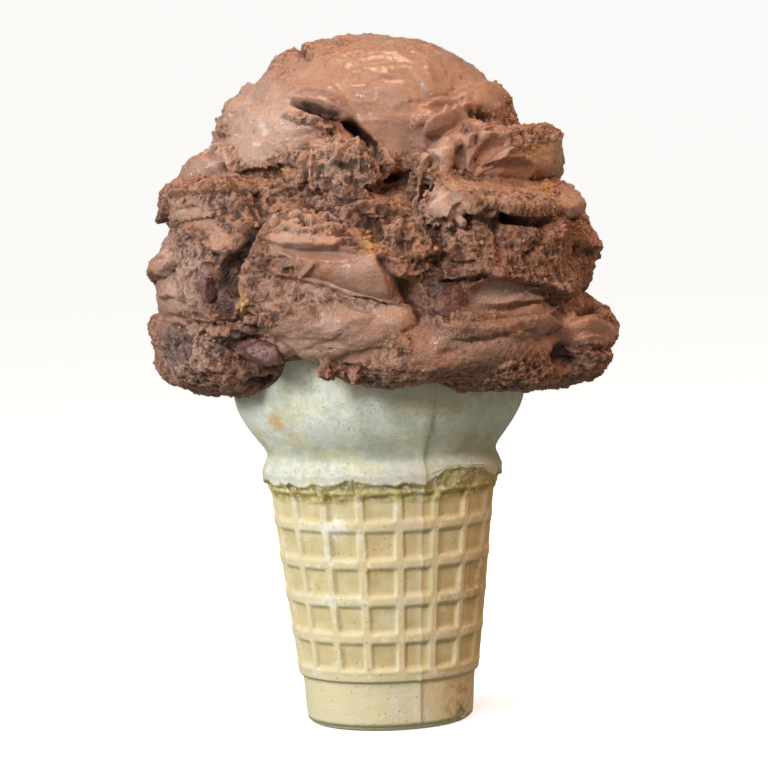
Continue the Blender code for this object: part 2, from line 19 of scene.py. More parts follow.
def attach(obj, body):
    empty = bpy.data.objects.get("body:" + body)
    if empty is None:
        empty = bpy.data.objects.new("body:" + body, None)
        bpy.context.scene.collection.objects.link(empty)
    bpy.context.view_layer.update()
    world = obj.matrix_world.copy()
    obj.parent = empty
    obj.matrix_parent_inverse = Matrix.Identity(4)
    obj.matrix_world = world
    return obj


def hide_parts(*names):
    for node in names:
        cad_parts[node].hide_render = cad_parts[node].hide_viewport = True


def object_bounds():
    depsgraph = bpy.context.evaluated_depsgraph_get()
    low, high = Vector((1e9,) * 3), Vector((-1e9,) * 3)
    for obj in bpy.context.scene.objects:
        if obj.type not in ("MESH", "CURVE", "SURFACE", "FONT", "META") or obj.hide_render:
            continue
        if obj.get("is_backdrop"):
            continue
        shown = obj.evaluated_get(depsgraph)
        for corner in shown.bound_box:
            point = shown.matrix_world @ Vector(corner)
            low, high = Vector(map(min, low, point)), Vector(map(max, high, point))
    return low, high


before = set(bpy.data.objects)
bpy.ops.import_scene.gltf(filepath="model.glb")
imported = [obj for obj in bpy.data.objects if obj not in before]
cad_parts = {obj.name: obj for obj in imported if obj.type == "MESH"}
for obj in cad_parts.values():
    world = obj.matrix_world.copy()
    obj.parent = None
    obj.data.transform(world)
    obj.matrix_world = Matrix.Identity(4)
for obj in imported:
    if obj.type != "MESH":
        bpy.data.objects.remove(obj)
MM = 0.001
cad_box = [list(corner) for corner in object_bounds()]
print("solids:", sorted(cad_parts), "box in mm:", [[round(v / MM, 1) for v in c] for c in cad_box])

# %% [markdown]
# ## Camera
# A cone in the hand is looked at from a little above its rim and from some way off, so the lens
# is long and the sides of the cup stay nearly upright. The camera leans by two degrees.

# %% Set up the camera
EYE = Vector((1.06, -600.0, 105.0))
AIM = Vector((1.06, 0.0, 70.2))
camera_data = bpy.data.cameras.new("studio_camera")
camera_data.lens = 135.0
camera_data.sensor_width = 36.0
camera = bpy.data.objects.new("studio_camera", camera_data)
bpy.context.scene.collection.objects.link(camera)
facing = (AIM - EYE).to_track_quat("-Z", "Y").to_matrix() @ Matrix.Rotation(math.radians(-2.0), 3, "Z")
camera.location = EYE * MM
camera.rotation_euler = facing.to_euler()
bpy.context.scene.camera = camera
bpy.context.scene.view_settings.view_transform = "Standard"
print("camera", round((AIM - EYE).length), "mm from the cone")

# %% [markdown]
# ## Floor and light
# The floor is a wide white dish: flat where the cone stands and curved up far behind it, so no
# edge shows from any side. It is turned from one line with spin. A small glow of its own keeps
# it white, and it is left out of the bounce light, because a white room would wash the shade
# out of the folds.

# %% Helpers for new objects and node materials
def linear(red, green, blue):
    """A screen colour (0 to 255) as the linear colour that shaders work in."""
    values = []
    for value in (red, green, blue):
        c = value / 255.0
        values.append(c / 12.92 if c <= 0.04045 else ((c + 0.055) / 1.055) ** 2.4)
    return (*values, 1.0)


def placed(name, mesh, material=None):
    """A new piece that shows this mesh, shaded smooth."""
    piece = bpy.data.objects.new(name, mesh)
    bpy.context.scene.collection.objects.link(piece)
    if material:
        mesh.materials.append(material)
    mesh.polygons.foreach_set("use_smooth", [True] * len(mesh.polygons))
    return piece


def new_piece(name, bm, material=None):
    mesh = bpy.data.meshes.new(name)
    bm.to_mesh(mesh)
    bm.free()
    return placed(name, mesh, material)


def spun(name, rows, columns, material=None):
    """A piece turned from a line of (height, radius) in mm, once round the axis."""
    bm = bmesh.new()
    line = [bm.verts.new((radius * MM, 0.0, z * MM)) for z, radius in rows]
    edges = [bm.edges.new(pair) for pair in zip(line, line[1:])]
    bmesh.ops.spin(
        bm, geom=line + edges, cent=(0, 0, 0), axis=(0, 0, 1), dvec=(0, 0, 0),
        angle=math.tau, steps=columns, use_merge=True,
    )
    bmesh.ops.remove_doubles(bm, verts=bm.verts, dist=0.000002)
    bmesh.ops.recalc_face_normals(bm, faces=bm.faces)
    return new_piece(name, bm, material)


def bake(piece):
    """Replace a piece's mesh with what its modifiers make of it."""
    graph = bpy.context.evaluated_depsgraph_get()
    made = bpy.data.meshes.new_from_object(piece.evaluated_get(graph))
    piece.modifiers.clear()
    piece.data = made


def combine(piece, other, operation):
    """Cut another piece out of a piece, or join it on, and throw the other away."""
    step = piece.modifiers.new("combine", "BOOLEAN")
    step.operation = operation
    step.solver = "EXACT"
    step.object = other
    bake(piece)
    bpy.data.objects.remove(other, do_unlink=True)


def triangles(piece):
    return sum(len(face.vertices) - 2 for face in piece.data.polygons)


class Finish:
    """A node material that is built up one node at a time."""

    def __init__(self, name):
        self.material = bpy.data.materials.new(name)
        self.material.use_nodes = True
        self.tree = self.material.node_tree
        self.shader = self.tree.nodes["Principled BSDF"]

    def join(self, value, socket):
        """Feed a socket from another socket, or set it to a plain number or colour."""
        if isinstance(value, bpy.types.NodeSocket):
            self.tree.links.new(value, socket)
        else:
            socket.default_value = value

    def place(self):
        return self.tree.nodes.new("ShaderNodeTexCoord").outputs["Object"]

    def stretched(self, sizes, turn=(0.0, 0.0, 0.0)):
        node = self.tree.nodes.new("ShaderNodeMapping")
        node.inputs["Scale"].default_value = sizes
        node.inputs["Rotation"].default_value = [math.radians(a) for a in turn]
        self.join(self.place(), node.inputs["Vector"])
        return node.outputs["Vector"]

    def noise(self, size_mm, detail=3.0, rough=0.55, where=None):
        node = self.tree.nodes.new("ShaderNodeTexNoise")
        node.inputs["Scale"].default_value = 1000.0 / size_mm
        node.inputs["Detail"].default_value = detail
        node.inputs["Roughness"].default_value = rough
        self.join(where if where is not None else self.place(), node.inputs["Vector"])
        return node.outputs["Fac"]

    def pores(self, size_mm):
        node = self.tree.nodes.new("ShaderNodeTexVoronoi")
        node.inputs["Scale"].default_value = 1000.0 / size_mm
        self.join(self.place(), node.inputs["Vector"])
        return node.outputs["Distance"]

    def attribute(self, name):
        node = self.tree.nodes.new("ShaderNodeAttribute")
        node.attribute_name = name
        return node.outputs["Fac"]

    def remap(self, value, low, high, to_low=0.0, to_high=1.0):
        node = self.tree.nodes.new("ShaderNodeMapRange")
        node.interpolation_type = "SMOOTHSTEP"
        for name, number in (("From Min", low), ("From Max", high), ("To Min", to_low), ("To Max", to_high)):
            node.inputs[name].default_value = number
        self.join(value, node.inputs["Value"])
        return node.outputs["Result"]

    def maths(self, operation, first, second=0.0):
        node = self.tree.nodes.new("ShaderNodeMath")
        node.operation = operation
        self.join(first, node.inputs[0])
        self.join(second, node.inputs[1])
        return node.outputs[0]

    def times(self, first, second):
        return self.maths("MULTIPLY", first, second)

    def mix(self, factor, first, second, blend="MIX"):
        node = self.tree.nodes.new("ShaderNodeMix")
        node.data_type = "RGBA"
        node.blend_type = blend
        self.join(factor, node.inputs[0])
        self.join(first, node.inputs[6])
        self.join(second, node.inputs[7])
        return node.outputs[2]

    def tint(self, colour, mask, share, shade):
        """Lay a shade over a colour where the mask is high, at most as strongly as share."""
        return self.mix(self.times(mask, share), colour, linear(*shade))

    def dimmed(self, colour, value):
        """A colour made darker or lighter by a grey value."""
        grey = self.tree.nodes.new("ShaderNodeCombineColor")
        for socket in grey.inputs:
            self.join(value, socket)
        return self.mix(0.8, colour, grey.outputs[0], "MULTIPLY")

    def spot(self, centre, size):
        """1 at a place on the piece (mm), fading to 0 at the given size (mm) from it."""
        node = self.tree.nodes.new("ShaderNodeVectorMath")
        node.operation = "DISTANCE"
        self.join(self.place(), node.inputs[0])
        node.inputs[1].default_value = [v * MM for v in centre]
        return self.remap(node.outputs["Value"], 0.35 * size * MM, size * MM, 1.0, 0.0)

    def height(self):
        node = self.tree.nodes.new("ShaderNodeSeparateXYZ")
        self.join(self.place(), node.inputs[0])
        return self.times(node.outputs["Z"], 1000.0)

    def relief(self, height, depth_mm):
        node = self.tree.nodes.new("ShaderNodeBump")
        node.inputs["Distance"].default_value = depth_mm * MM
        self.join(height, node.inputs["Height"])
        return node.outputs["Normal"]

    def finish(self, colour, roughness, normal, **fixed):
        self.join(colour, self.shader.inputs["Base Color"])
        self.join(roughness, self.shader.inputs["Roughness"])
        self.join(normal, self.shader.inputs["Normal"])
        for name, value in fixed.items():
            self.shader.inputs[name.replace("_", " ")].default_value = value
        return self.material


print("helpers ready")

# %% Turn the white floor
white = Finish("studio_white")
white.shader.inputs["Base Color"].default_value = (0.8, 0.8, 0.8, 1.0)
white.shader.inputs["Roughness"].default_value = 0.9
white.shader.inputs["Specular IOR Level"].default_value = 0.0
white.shader.inputs["Emission Color"].default_value = (1.0, 1.0, 1.0, 1.0)
white.shader.inputs["Emission Strength"].default_value = 0.66
DISH = [(0, 0), (0, 300), (0, 1200), (50, 1700), (250, 2100), (700, 2400), (2600, 2500)]
floor = spun("studio_floor", DISH, 96, white.material)
floor.visible_diffuse = False
floor.visible_glossy = False
floor.visible_shadow = False
floor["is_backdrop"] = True
print("floor", len(floor.data.polygons), "faces")

# %% Light it
world = bpy.data.worlds.new("studio_world")
bpy.context.scene.world = world
world.use_nodes = True
tree = world.node_tree
direction = tree.nodes.new("ShaderNodeTexCoord").outputs["Generated"]
split = tree.nodes.new("ShaderNodeSeparateXYZ")
tree.links.new(direction, split.inputs[0])
sideways = tree.nodes.new("ShaderNodeMapRange")
sideways.inputs["From Min"].default_value = -0.8
sideways.inputs["From Max"].default_value = 0.9
tree.links.new(split.outputs["X"], sideways.inputs["Value"])
blend = tree.nodes.new("ShaderNodeMix")
blend.data_type = "RGBA"
blend.inputs[6].default_value = (0.245, 0.262, 0.262, 1.0)
blend.inputs[7].default_value = (0.245, 0.23, 0.19, 1.0)
tree.links.new(sideways.outputs["Result"], blend.inputs[0])
tree.links.new(blend.outputs[2], tree.nodes["Background"].inputs["Color"])
tree.nodes["Background"].inputs["Strength"].default_value = 1.0
LIT_MIDDLE = Vector((0.0, 0.0, 0.09))


def lamp(name, place, size, power, colour):
    data = bpy.data.lights.new(name, "AREA")
    data.shape = "DISK"
    data.size = size
    data.energy = power
    data.color = colour
    made = bpy.data.objects.new(name, data)
    bpy.context.scene.collection.objects.link(made)
    made.location = place
    made.rotation_euler = (LIT_MIDDLE - Vector(place)).to_track_quat("-Z", "Y").to_euler()


lamp("key_light", (-0.48, -0.80, 0.50), 0.26, 6.7, (0.92, 0.98, 1.06))
lamp("side_light", (-0.95, -0.20, 0.40), 0.32, 5.0, (0.96, 1.0, 1.12))
lamp("top_light", (0.10, 0.10, 0.95), 0.30, 5.0, (1.0, 0.77, 0.54))
lamp("warm_light", (0.62, -0.35, 0.65), 0.30, 2.6, (1.0, 0.46, 0.20))
lamp("glint_light", (-0.06, -0.66, 0.52), 0.05, 1.2, (0.95, 1.0, 1.05))
print("world and five lamps")

# %% [markdown]
# ## Noise that can be measured
# Torn ice cream and baked wafer are uneven at every scale. Blender's textures only show up in
# a render, so the relief that changes the outline is worked out here: value noise for soft
# lumps, and cell noise, whose distance to the nearest of many random points gives round pores.

# %% Noise over arrays of points
def dice(i, j, k, seed):
    mixed = (i * 374761393 + j * 668265263 + k * 2147483647 + seed * 974634777) & 0xFFFFFFFF
    mixed = ((mixed ^ (mixed >> 13)) * 1274126177) & 0xFFFFFFFF
    mixed = ((mixed ^ (mixed >> 16)) * 2246822519) & 0xFFFFFFFF
    return ((mixed ^ (mixed >> 15)) & 0xFFFFFF) / float(0x1000000)


def soft_noise(points, size, seed=0):
    """Smooth noise from -1 to 1 whose lumps are about size across."""
    scaled = points / size
    corner = np.floor(scaled).astype(np.int64)
    f = scaled - corner
    f = f * f * f * (f * (f * 6 - 15) + 10)
    total = 0.0
    for a in (0, 1):
        for b in (0, 1):
            for c in (0, 1):
                weight = np.abs(1 - a - f[:, 0]) * np.abs(1 - b - f[:, 1]) * np.abs(1 - c - f[:, 2])
                total = total + weight * dice(corner[:, 0] + a, corner[:, 1] + b, corner[:, 2] + c, seed)
    return total * 2 - 1


def rough_noise(points, size, layers, seed=0):
    total = 0.0
    share = 0.0
    for k in range(layers):
        total = total + 0.5**k * soft_noise(points + 17.3 * k, size / 2**k, seed + 7 * k)
        share += 0.5**k
    return total / share


def pore_noise(points, size, seed=0):
    """Distance to the nearest of random points that lie about size apart, in units of size."""
    scaled = points / size
    corner = np.floor(scaled).astype(np.int64)
    nearest = np.full(len(points), 9.0)
    for a in (-1, 0, 1):
        for b in (-1, 0, 1):
            for c in (-1, 0, 1):
                i, j, k = corner[:, 0] + a, corner[:, 1] + b, corner[:, 2] + c
                dx = i + dice(i, j, k, seed) - scaled[:, 0]
                dy = j + dice(i, j, k, seed + 1) - scaled[:, 1]
                dz = k + dice(i, j, k, seed + 2) - scaled[:, 2]
                nearest = np.minimum(nearest, dx * dx + dy * dy + dz * dz)
    return np.sqrt(nearest)


def curds(points, size, seed=0):
    """Rounded lumps about size across with sharp creases between them, from 0 in a crease to 1."""
    return np.minimum(1.0, 1.9 * np.abs(soft_noise(points, size, seed)))


def shreds(points, size, seed=0):
    """Sharp crests about size apart with rounded hollows between them, from -1 to 1."""
    return 1.0 - 2.0 * np.minimum(1.0, 2.0 * np.abs(soft_noise(points, size, seed)))


def flakes(points, size, levels, seed=0):
    """Torn sheets, from -1 to 1: flats about size across that end in small cliffs."""
    level = rough_noise(points * np.array([0.75, 0.75, 1.5]), size, 3, seed) * levels
    foot = np.floor(level)
    return (foot + fade(0.0, 0.2, level - foot)) / levels


def fade(low, high, value):
    """0 below low, 1 above high, and a smooth rise between. It runs down where low is above high."""
    t = np.clip((value - low) / (high - low), 0.0, 1.0)
    return t * t * (3.0 - 2.0 * t)


def places(mesh):
    flat = np.empty(len(mesh.vertices) * 3, np.float32)
    mesh.vertices.foreach_get("co", flat)
    return flat.reshape(-1, 3).astype(float) / MM


def outward(mesh):
    flat = np.empty(len(mesh.vertices) * 3, np.float32)
    mesh.vertices.foreach_get("normal", flat)
    return flat.reshape(-1, 3).astype(float)


def move_to(mesh, points):
    mesh.vertices.foreach_set("co", (points * MM).astype(np.float32).ravel())
    mesh.update()


def paint(mesh, name, values):
    layer = mesh.attributes.new(name, "FLOAT", "POINT")
    layer.data.foreach_set("value", np.asarray(values, np.float32))


print("noise ready, for example", np.round(rough_noise(np.array([[1.0, 2.0, 3.0]]), 2.0, 3), 3))

# %% [markdown]
# ## The wafer cup
# A cake cone is baked from batter between two halves of a mould and a core, so it is a thin
# wall turned round an axis, with a fine line of flash where the mould's halves meet. Its
# section is spun once round. The columns of the spun mesh are then drawn together at the sides
# of the ribs, so that few faces give crisp cells.

# %% The cup's section
RIB_COUNT = 18
RIB_PITCH = 360.0 / RIB_COUNT
FIRST_RIB = -82.0
SEAM = -70.0
OUTSIDE = [
    (80.0, 31.0), (74.0, 30.9), (69.5, 30.5), (66.0, 29.7), (63.0, 28.2), (60.2, 26.3), (57.8, 24.5),
    (56.2, 23.9), (54.4, 24.6), (52.8, 25.1), (51.4, 24.95), (50.9, 24.6), (50.5, 23.9), (50.1, 23.55),
]
FOOT = [
    (11.6, 19.0), (11.0, 18.95), (10.4, 18.7), (9.7, 18.05), (1.9, 17.35),
    (1.1, 17.15), (0.5, 16.7), (0.1, 16.1), (0.0, 15.4),
]
INSIDE = [
    (2.6, 15.2), (48.0, 21.1), (54.0, 21.8), (57.5, 22.5),
    (61.0, 25.0), (65.5, 27.5), (72.0, 28.7), (79.6, 29.5),
]


def finer(points, step):
    """The same line with more points: a smooth curve through them, at most step apart."""
    made = []
    for k in range(len(points) - 1):
        near = [points[max(k - 1, 0)], points[k], points[k + 1], points[min(k + 2, len(points) - 1)]]
        p0, p1, p2, p3 = [np.array(p) for p in near]
        count = max(1, round(float(np.linalg.norm(p2 - p1)) / step))
        for t in np.arange(count) / count:
            curve = 2 * p1 + (p2 - p0) * t + (2 * p0 - 5 * p1 + 4 * p2 - p3) * t * t
            made.append(tuple(0.5 * (curve + (3 * p1 - p0 - 3 * p2 + p3) * t**3)))
    return made + [tuple(points[-1])]


FOOT_TOP, FOOT_RADIUS = 11.6, 19.0
section = [(2.6, 0.0)] + INSIDE + [(80.0, 30.2)]
section += finer(OUTSIDE[:3], 1.6)[:-1] + finer(OUTSIDE[2:10], 0.42)[:-1] + finer(OUTSIDE[9:], 0.22)
section += [(z, FOOT_RADIUS + (z - FOOT_TOP) * 4.5 / 38.3) for z in np.arange(49.8, 11.7, -0.34)]
section += finer(FOOT, 0.42) + [(0.0, 8.0), (0.0, 0.0)]
print(len(section), "points in the section")

# %% Spin it and gather the columns at the ribs
COLUMNS_PER_RIB = 21
# where the columns of one rib and its cell stand, in degrees from the rib's middle
half = [0.55, 1.1, 1.6, 2.05, 2.5, 2.95, 3.6, 4.8, 6.6, 8.6]
COLUMN_PLACES = [0.0] + half + [RIB_PITCH - h for h in reversed(half)]
cup = spun("wafer_cone", section, RIB_COUNT * COLUMNS_PER_RIB)
P = places(cup.data)
radius = np.hypot(P[:, 0], P[:, 1])
turns = np.degrees(np.arctan2(P[:, 1], P[:, 0])) / RIB_PITCH * COLUMNS_PER_RIB
column = np.round(turns).astype(int)
rib = column // COLUMNS_PER_RIB
angle = FIRST_RIB + rib * RIB_PITCH + np.array(COLUMN_PLACES)[column % COLUMNS_PER_RIB]
# the mould's flash needs columns close together, drawn in from this many degrees to each side
GATHER = 1.9
for side in (SEAM, SEAM + 180.0):
    off = (angle - side + 180.0) % 360.0 - 180.0
    angle = np.where(np.abs(off) < GATHER, side + np.sign(off) * np.abs(off) ** 2 / GATHER, angle)
print("cup", triangles(cup), "triangles")

# %% Press the waffle cells, fray the collar and raise the seam
a = np.radians(angle)
z = P[:, 2]
outer = radius > np.interp(z, [v[0] for v in INSIDE], [v[1] for v in INSIDE]) + 0.8
outer &= (z > 0.3) & (z < 79.9)
ring = np.stack([np.cos(a) * 24, np.sin(a) * 24, z], 1)
CELL_FOOT, CELL_PITCH, CELL_HEIGHT = 12.8, 7.7, 5.8
# how far along a rib or a bar each point lies: 1 on top of it, 0 in a cell
across = np.abs((angle - FIRST_RIB + 10.0) % RIB_PITCH - 10.0) * np.pi / 180.0 * radius
wander = 0.12 * soft_noise(ring, 9.0, 3)
upright = fade(1.30, 0.55, across + wander)
row = np.clip(np.floor((z - CELL_FOOT + 0.95) / CELL_PITCH), -1, 4)
middle = CELL_FOOT + row * CELL_PITCH + CELL_HEIGHT / 2
bar = fade(CELL_HEIGHT / 2 - 0.75, CELL_HEIGHT / 2 + 0.25, np.abs(z - middle) + wander)
bar = np.where((row < 0) | (z < CELL_FOOT - 0.4), 1.0, bar)
grid = 1.0 - (1.0 - upright) * (1.0 - bar)
body = fade(10.6, 11.4, z) * fade(50.2, 49.7, z) * outer
CELL_DEPTH = 0.78
push = -CELL_DEPTH * (1.0 - grid) * body
push += 0.16 * bar * (1.0 - 0.6 * upright) * fade(11.6, 12.6, z) * body
# crumbly band just under the collar, where batter squeezed out of the mould
fray = 0.9 * soft_noise(ring, 3.2, 12)
band = fade(47.2, 48.4, z + fray) * fade(51.6, 50.6, z) * outer
push += band * (0.40 * (curds(ring, 1.6, 8) - 0.3) + 0.24 * rough_noise(ring, 0.9, 2, 18) + 0.18)
# the baked wall is never quite true
push += outer * (0.10 * soft_noise(ring, 14.0, 1) + 0.045 * rough_noise(ring, 3.0, 2, 2))
cell_skin = body * (1.0 - grid)
push += cell_skin * 0.07 * rough_noise(ring, 1.7, 2, 5)
off = np.abs((angle - SEAM + 90.0) % 180.0 - 90.0) * np.pi / 180.0 * radius
flash = np.exp(-((off / 0.24) ** 2)) * outer * fade(0.5, 2.0, z)
push += flash * (0.75 + 0.22 * soft_noise(ring, 3.0, 6)) * (1.0 - 0.55 * body)
radius = radius + push
# frayed lower edge of the collar
COLLAR_EDGE = 50.9
edge = np.exp(-(((z - COLLAR_EDGE) / 0.8) ** 2)) * outer
broken = fade(-72.0, -58.0, angle) * fade(-22.0, -34.0, angle)
hem = np.stack([np.cos(a) * 24, np.sin(a) * 24, 0 * a], 1)
tatter = 0.75 * soft_noise(hem, 5.5, 4) + 0.8 * rough_noise(hem, 1.9, 2, 9) + 0.5 + 1.9 * broken
z = z + tatter * fade(54.6, 51.2, z) * fade(50.2, 50.8, z) * outer
move_to(cup.data, np.stack([radius * np.cos(a), radius * np.sin(a), z], 1))
paint(cup.data, "rib", grid * body)
paint(cup.data, "cell", cell_skin)
paint(cup.data, "band", band)
paint(cup.data, "collar_edge", edge)
paint(cup.data, "flash", flash)
print("cells pressed", round(float(-push.min()), 2), "mm deep")

# %% Break the small chip out of the foot
bm = bmesh.new()
bmesh.ops.create_cube(bm, size=1.0)
lean = Euler((math.radians(24), math.radians(38), 0)).to_matrix().to_4x4()
place = Matrix.Rotation(math.radians(57.0), 4, "Z") @ Matrix.Translation(Vector((0, -17.5, 1.5)) * MM) @ lean
place = place @ Matrix.Diagonal((3.2 * MM, 2.6 * MM, 3.0 * MM, 1.0))
bmesh.ops.transform(bm, matrix=place, verts=bm.verts)
cutter = new_piece("chip_cutter", bm)
combine(cup, cutter, "DIFFERENCE")
cup.data.polygons.foreach_set("use_smooth", [True] * len(cup.data.polygons))
print("cup with its chip:", triangles(cup), "triangles")

# %% [markdown]
# ## Wafer finish
# A cake cone is pale, dry and matt: greyish cream with an olive tint round the bowl, painted as the
# reflection of cool light, warmer and more yellow in the waffle part, with darker baked blotches, chalky
# scuffs along the bars and open pores darkened with painted shade. The colours are mixed from noise of
# several sizes, and the masks that the mesh code painted (rib, cell, band, flash) put each tint where the
# mould made it.

# %% Make the wafer finish
wafer = Finish("wafer")
up = wafer.height()
bowl_part = wafer.remap(up, 49.5, 52.5)
# above the waist the cup turns paler and grey-green; the grey-green is painted reflection of cool light
colour = wafer.mix(bowl_part, linear(220, 204, 161), linear(236, 236, 214))
collar_part = wafer.times(wafer.remap(up, 58.0, 56.0), bowl_part)
colour = wafer.tint(colour, collar_part, 0.8, (206, 201, 180))
large = wafer.remap(wafer.noise(11.0, 3.0), 0.42, 0.66)
colour = wafer.tint(colour, large, 0.55, (221, 203, 152))
cloudy = wafer.remap(wafer.noise(6.0, 4.0, where=wafer.stretched((1, 1, 0.7))), 0.5, 0.72)
colour = wafer.tint(colour, cloudy, 0.5, (226, 224, 206))
ribs = wafer.times(wafer.attribute("rib"), 0.45)
colour = wafer.mix(ribs, colour, linear(219, 198, 152))
scuffs = wafer.times(wafer.remap(wafer.noise(2.2, 4.0), 0.54, 0.66), wafer.attribute("rib"))
colour = wafer.tint(colour, scuffs, 0.55, (236, 230, 210))
cell_tint = wafer.times(wafer.attribute("cell"), wafer.remap(wafer.noise(5.0, 3.0), 0.3, 0.7, 0.25, 0.8))
colour = wafer.mix(cell_tint, colour, linear(198, 174, 118))
# the bowl is cloudy, scratched and greyer towards the waist
waist = wafer.times(wafer.remap(up, 64.5, 58.5), wafer.remap(up, 54.6, 57.0))
waist = wafer.times(waist, wafer.remap(wafer.noise(7.0, 3.0, 0.5), 0.30, 0.66))
colour = wafer.tint(colour, waist, 0.5, (160, 158, 130))
scratch = wafer.remap(wafer.noise(1.3, 6.0, 0.8), 0.46, 0.64)
scratch = wafer.times(scratch, bowl_part)
colour = wafer.tint(colour, scratch, 0.10, (184, 182, 154))
chalk = wafer.remap(wafer.noise(4.2, 4.0, 0.55, where=wafer.stretched((1, 1, 1.5), (20, 30, 0))), 0.50, 0.74)
chalk = wafer.times(chalk, bowl_part)
colour = wafer.tint(colour, chalk, 0.35, (236, 236, 222))
gritty = wafer.times(wafer.attribute("band"), wafer.remap(wafer.noise(1.1, 3.0), 0.34, 0.5))
crust = wafer.mix(wafer.remap(wafer.noise(2.4, 3.0), 0.42, 0.6), linear(196, 182, 112), linear(158, 134, 70))
colour = wafer.mix(wafer.times(gritty, 0.9), colour, crust)
# white painted glints on the frayed edge of the collar, at the pores
painted_edge_glints = wafer.times(wafer.attribute("collar_edge"), wafer.remap(wafer.pores(1.3), 0.25, 0.1))
colour = wafer.mix(painted_edge_glints, colour, linear(245, 243, 232))
drips = wafer.noise(8.0, 2.0, where=wafer.stretched((1, 1, 1.6), (0, 0, 40)))
butter = wafer.times(wafer.remap(drips, 0.56, 0.66), bowl_part)
colour = wafer.tint(colour, butter, 0.4, (222, 208, 150))
colour = wafer.tint(colour, wafer.spot((-20.9, -19.6, 64.5), 3.0), 0.75, (222, 178, 112))
# whitish rubs on the ribs at the front left, yellower toasted patches at the front, and browner patches on
# the right of the body and round the chip in the foot, each at its own place
for where, size, tint in (
    ((-11.0, -20.6, 42.4), 4.6, (240, 236, 222)),
    ((-12.0, -19.2, 27.0), 4.0, (240, 236, 222)),
    ((-3.2, -21.0, 33.2), 3.6, (204, 164, 84)),
    ((-1.6, -22.2, 38.8), 3.2, (214, 178, 104)),
    ((20.6, -9.6, 30.0), 9.0, (178, 128, 84)),
    ((15.8, -11.0, 5.0), 8.0, (184, 140, 98)),
):
    patch = wafer.times(wafer.spot(where, size), wafer.remap(wafer.noise(1.8, 4.0, 0.65), 0.42, 0.58))
    colour = wafer.tint(colour, patch, 0.6, tint)
colour = wafer.tint(colour, wafer.attribute("flash"), 0.8, (238, 231, 196))
# the pinholes are darkened in colour as painted shade, and sunk into the relief
pin = wafer.remap(wafer.pores(1.5), 0.16, 0.08)
colour = wafer.tint(colour, pin, 0.25, (168, 146, 98))
fine = wafer.noise(0.7, 4.0, 0.65)
grain = wafer.maths("ADD", wafer.times(fine, 0.5), wafer.times(wafer.noise(2.6, 3.0), 0.8))
grain = wafer.maths("SUBTRACT", grain, wafer.times(pin, 0.5))
grain = wafer.maths("SUBTRACT", grain, wafer.times(scratch, 0.25))
normal = wafer.relief(grain, 0.28)
rough = wafer.remap(wafer.noise(4.0, 3.0), 0.3, 0.7, 0.62, 0.8)
wafer_finish = wafer.finish(
    colour, rough, normal, Subsurface_Weight=0.12, Subsurface_Scale=0.002, Specular_IOR_Level=0.3
)
wafer.shader.inputs["Subsurface Radius"].default_value = (1.0, 0.7, 0.4)
cup.data.materials.clear()
cup.data.materials.append(wafer_finish)
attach(cup, "root")
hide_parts("wafer_cup")
print("wafer finish has", len(wafer.tree.nodes), "nodes")

# %% [markdown]
# ## The heap of ice cream
# A scoop pushes out slabs, rolls and torn lumps that freeze where they fold over each other. Each
# of them is made as a lobe: a rounded block set into a barrel-shaped core, placed by its angle
# round the cone, its height and how far out its face lies. Voxel remeshing then melts the lobes
# of one scoop into a single closed skin.

# %% The lobes of both scoops
# name, angle from the front, height, reach of the face from the axis,
# half sizes (across, deep, high), turn (roll, lean back, twist), squareness, taper
LOWER_LOBES = [
    ("core", 0, 94.0, 0, (41.4, 40.6, 19.0), (0, 0, 0), 3.3, 0),
    ("front_left_apron", -12, 83.9, 44.5, (18.1, 14, 7.3), (-3, -8, 0), 2.5, 0),
    ("front_lip", -1, 79.4, 43.0, (12.0, 14, 5.4), (0, -12, 0), 2.4, 0),
    ("porous_layer", -17, 87.6, 46.2, (13.4, 10, 4.2), (-6, -26, 0), 3.2, 0),
    ("smooth_slab", -9, 96.4, 44.4, (16.4, 12, 5.6), (-16, 10, 0), 3.4, 0.25),
    ("crumb_ledge", -20, 102.8, 42.2, (13.7, 12, 4.7), (-6, -30, 0), 3.4, 0),
    ("centre_wedge", -2, 105.0, 39.8, (7.8, 12, 4.6), (-12, 10, 0), 3.4, 0.2),
    ("centre_crumbs", 10, 97.2, 43.2, (9.4, 14, 7.4), (8, 6, 0), 2.8, 0),
    ("ridged_knob", 19.5, 105.3, 46.2, (4.8, 7, 4.2), (-14, 16, 0), 2.4, 0),
    ("right_plate", 45, 109.8, 46.4, (19.5, 9, 2.3), (-3, -32, 0), 4.0, 0),
    ("right_face", 56, 95.0, 43.2, (26, 20, 9.0), (0, 2, 0), 4.5, 0),
    ("right_shelf", 36, 88.6, 46.8, (18.2, 14, 4.4), (2, -26, 0), 3.2, 0),
    ("right_apron", 24, 80.2, 45.5, (21.2, 16, 7.4), (6, -8, 0), 2.5, 0),
    ("right_low_lip", 47, 76.9, 45.5, (15, 16, 7.4), (0, -6, 0), 2.8, 0),
    ("right_tongue", 74, 79.1, 48.8, (17, 18, 9.6), (0, 0, 0), 3.2, 0),
    ("right_flank", 100, 97.0, 44.0, (20, 18, 12), (0, 2, 0), 3.4, 0),
    ("left_block", -56, 92.5, 46.0, (22, 18, 11.6), (0, 2, 0), 3.2, 0),
    ("left_flank", -92, 95.0, 44.4, (20, 18, 13), (0, 2, 0), 3.2, 0),
    ("low_left_knob", -74, 79.9, 46.4, (19, 18, 10.0), (0, 0, 0), 3.0, 0),
    ("low_left_lip", -53, 79.4, 45.0, (6.2, 16, 7.8), (0, -4, 0), 2.8, 0),
    ("low_drip", -14.4, 75.2, 43.6, (1.7, 3, 2.2), (0, 0, 0), 2.2, 0),
    ("low_bead", -5.8, 74.4, 43.8, (1.5, 3, 1.5), (0, 0, 0), 2.2, 0),
    ("tooth", 57, 102.4, 45.4, (1.3, 3, 2.8), (-8, 0, 0), 2.4, 0),
    ("up_left_chunk", -62, 106.5, 44.5, (20, 20, 6.6), (4, 8, 0), 3.2, 0),
]
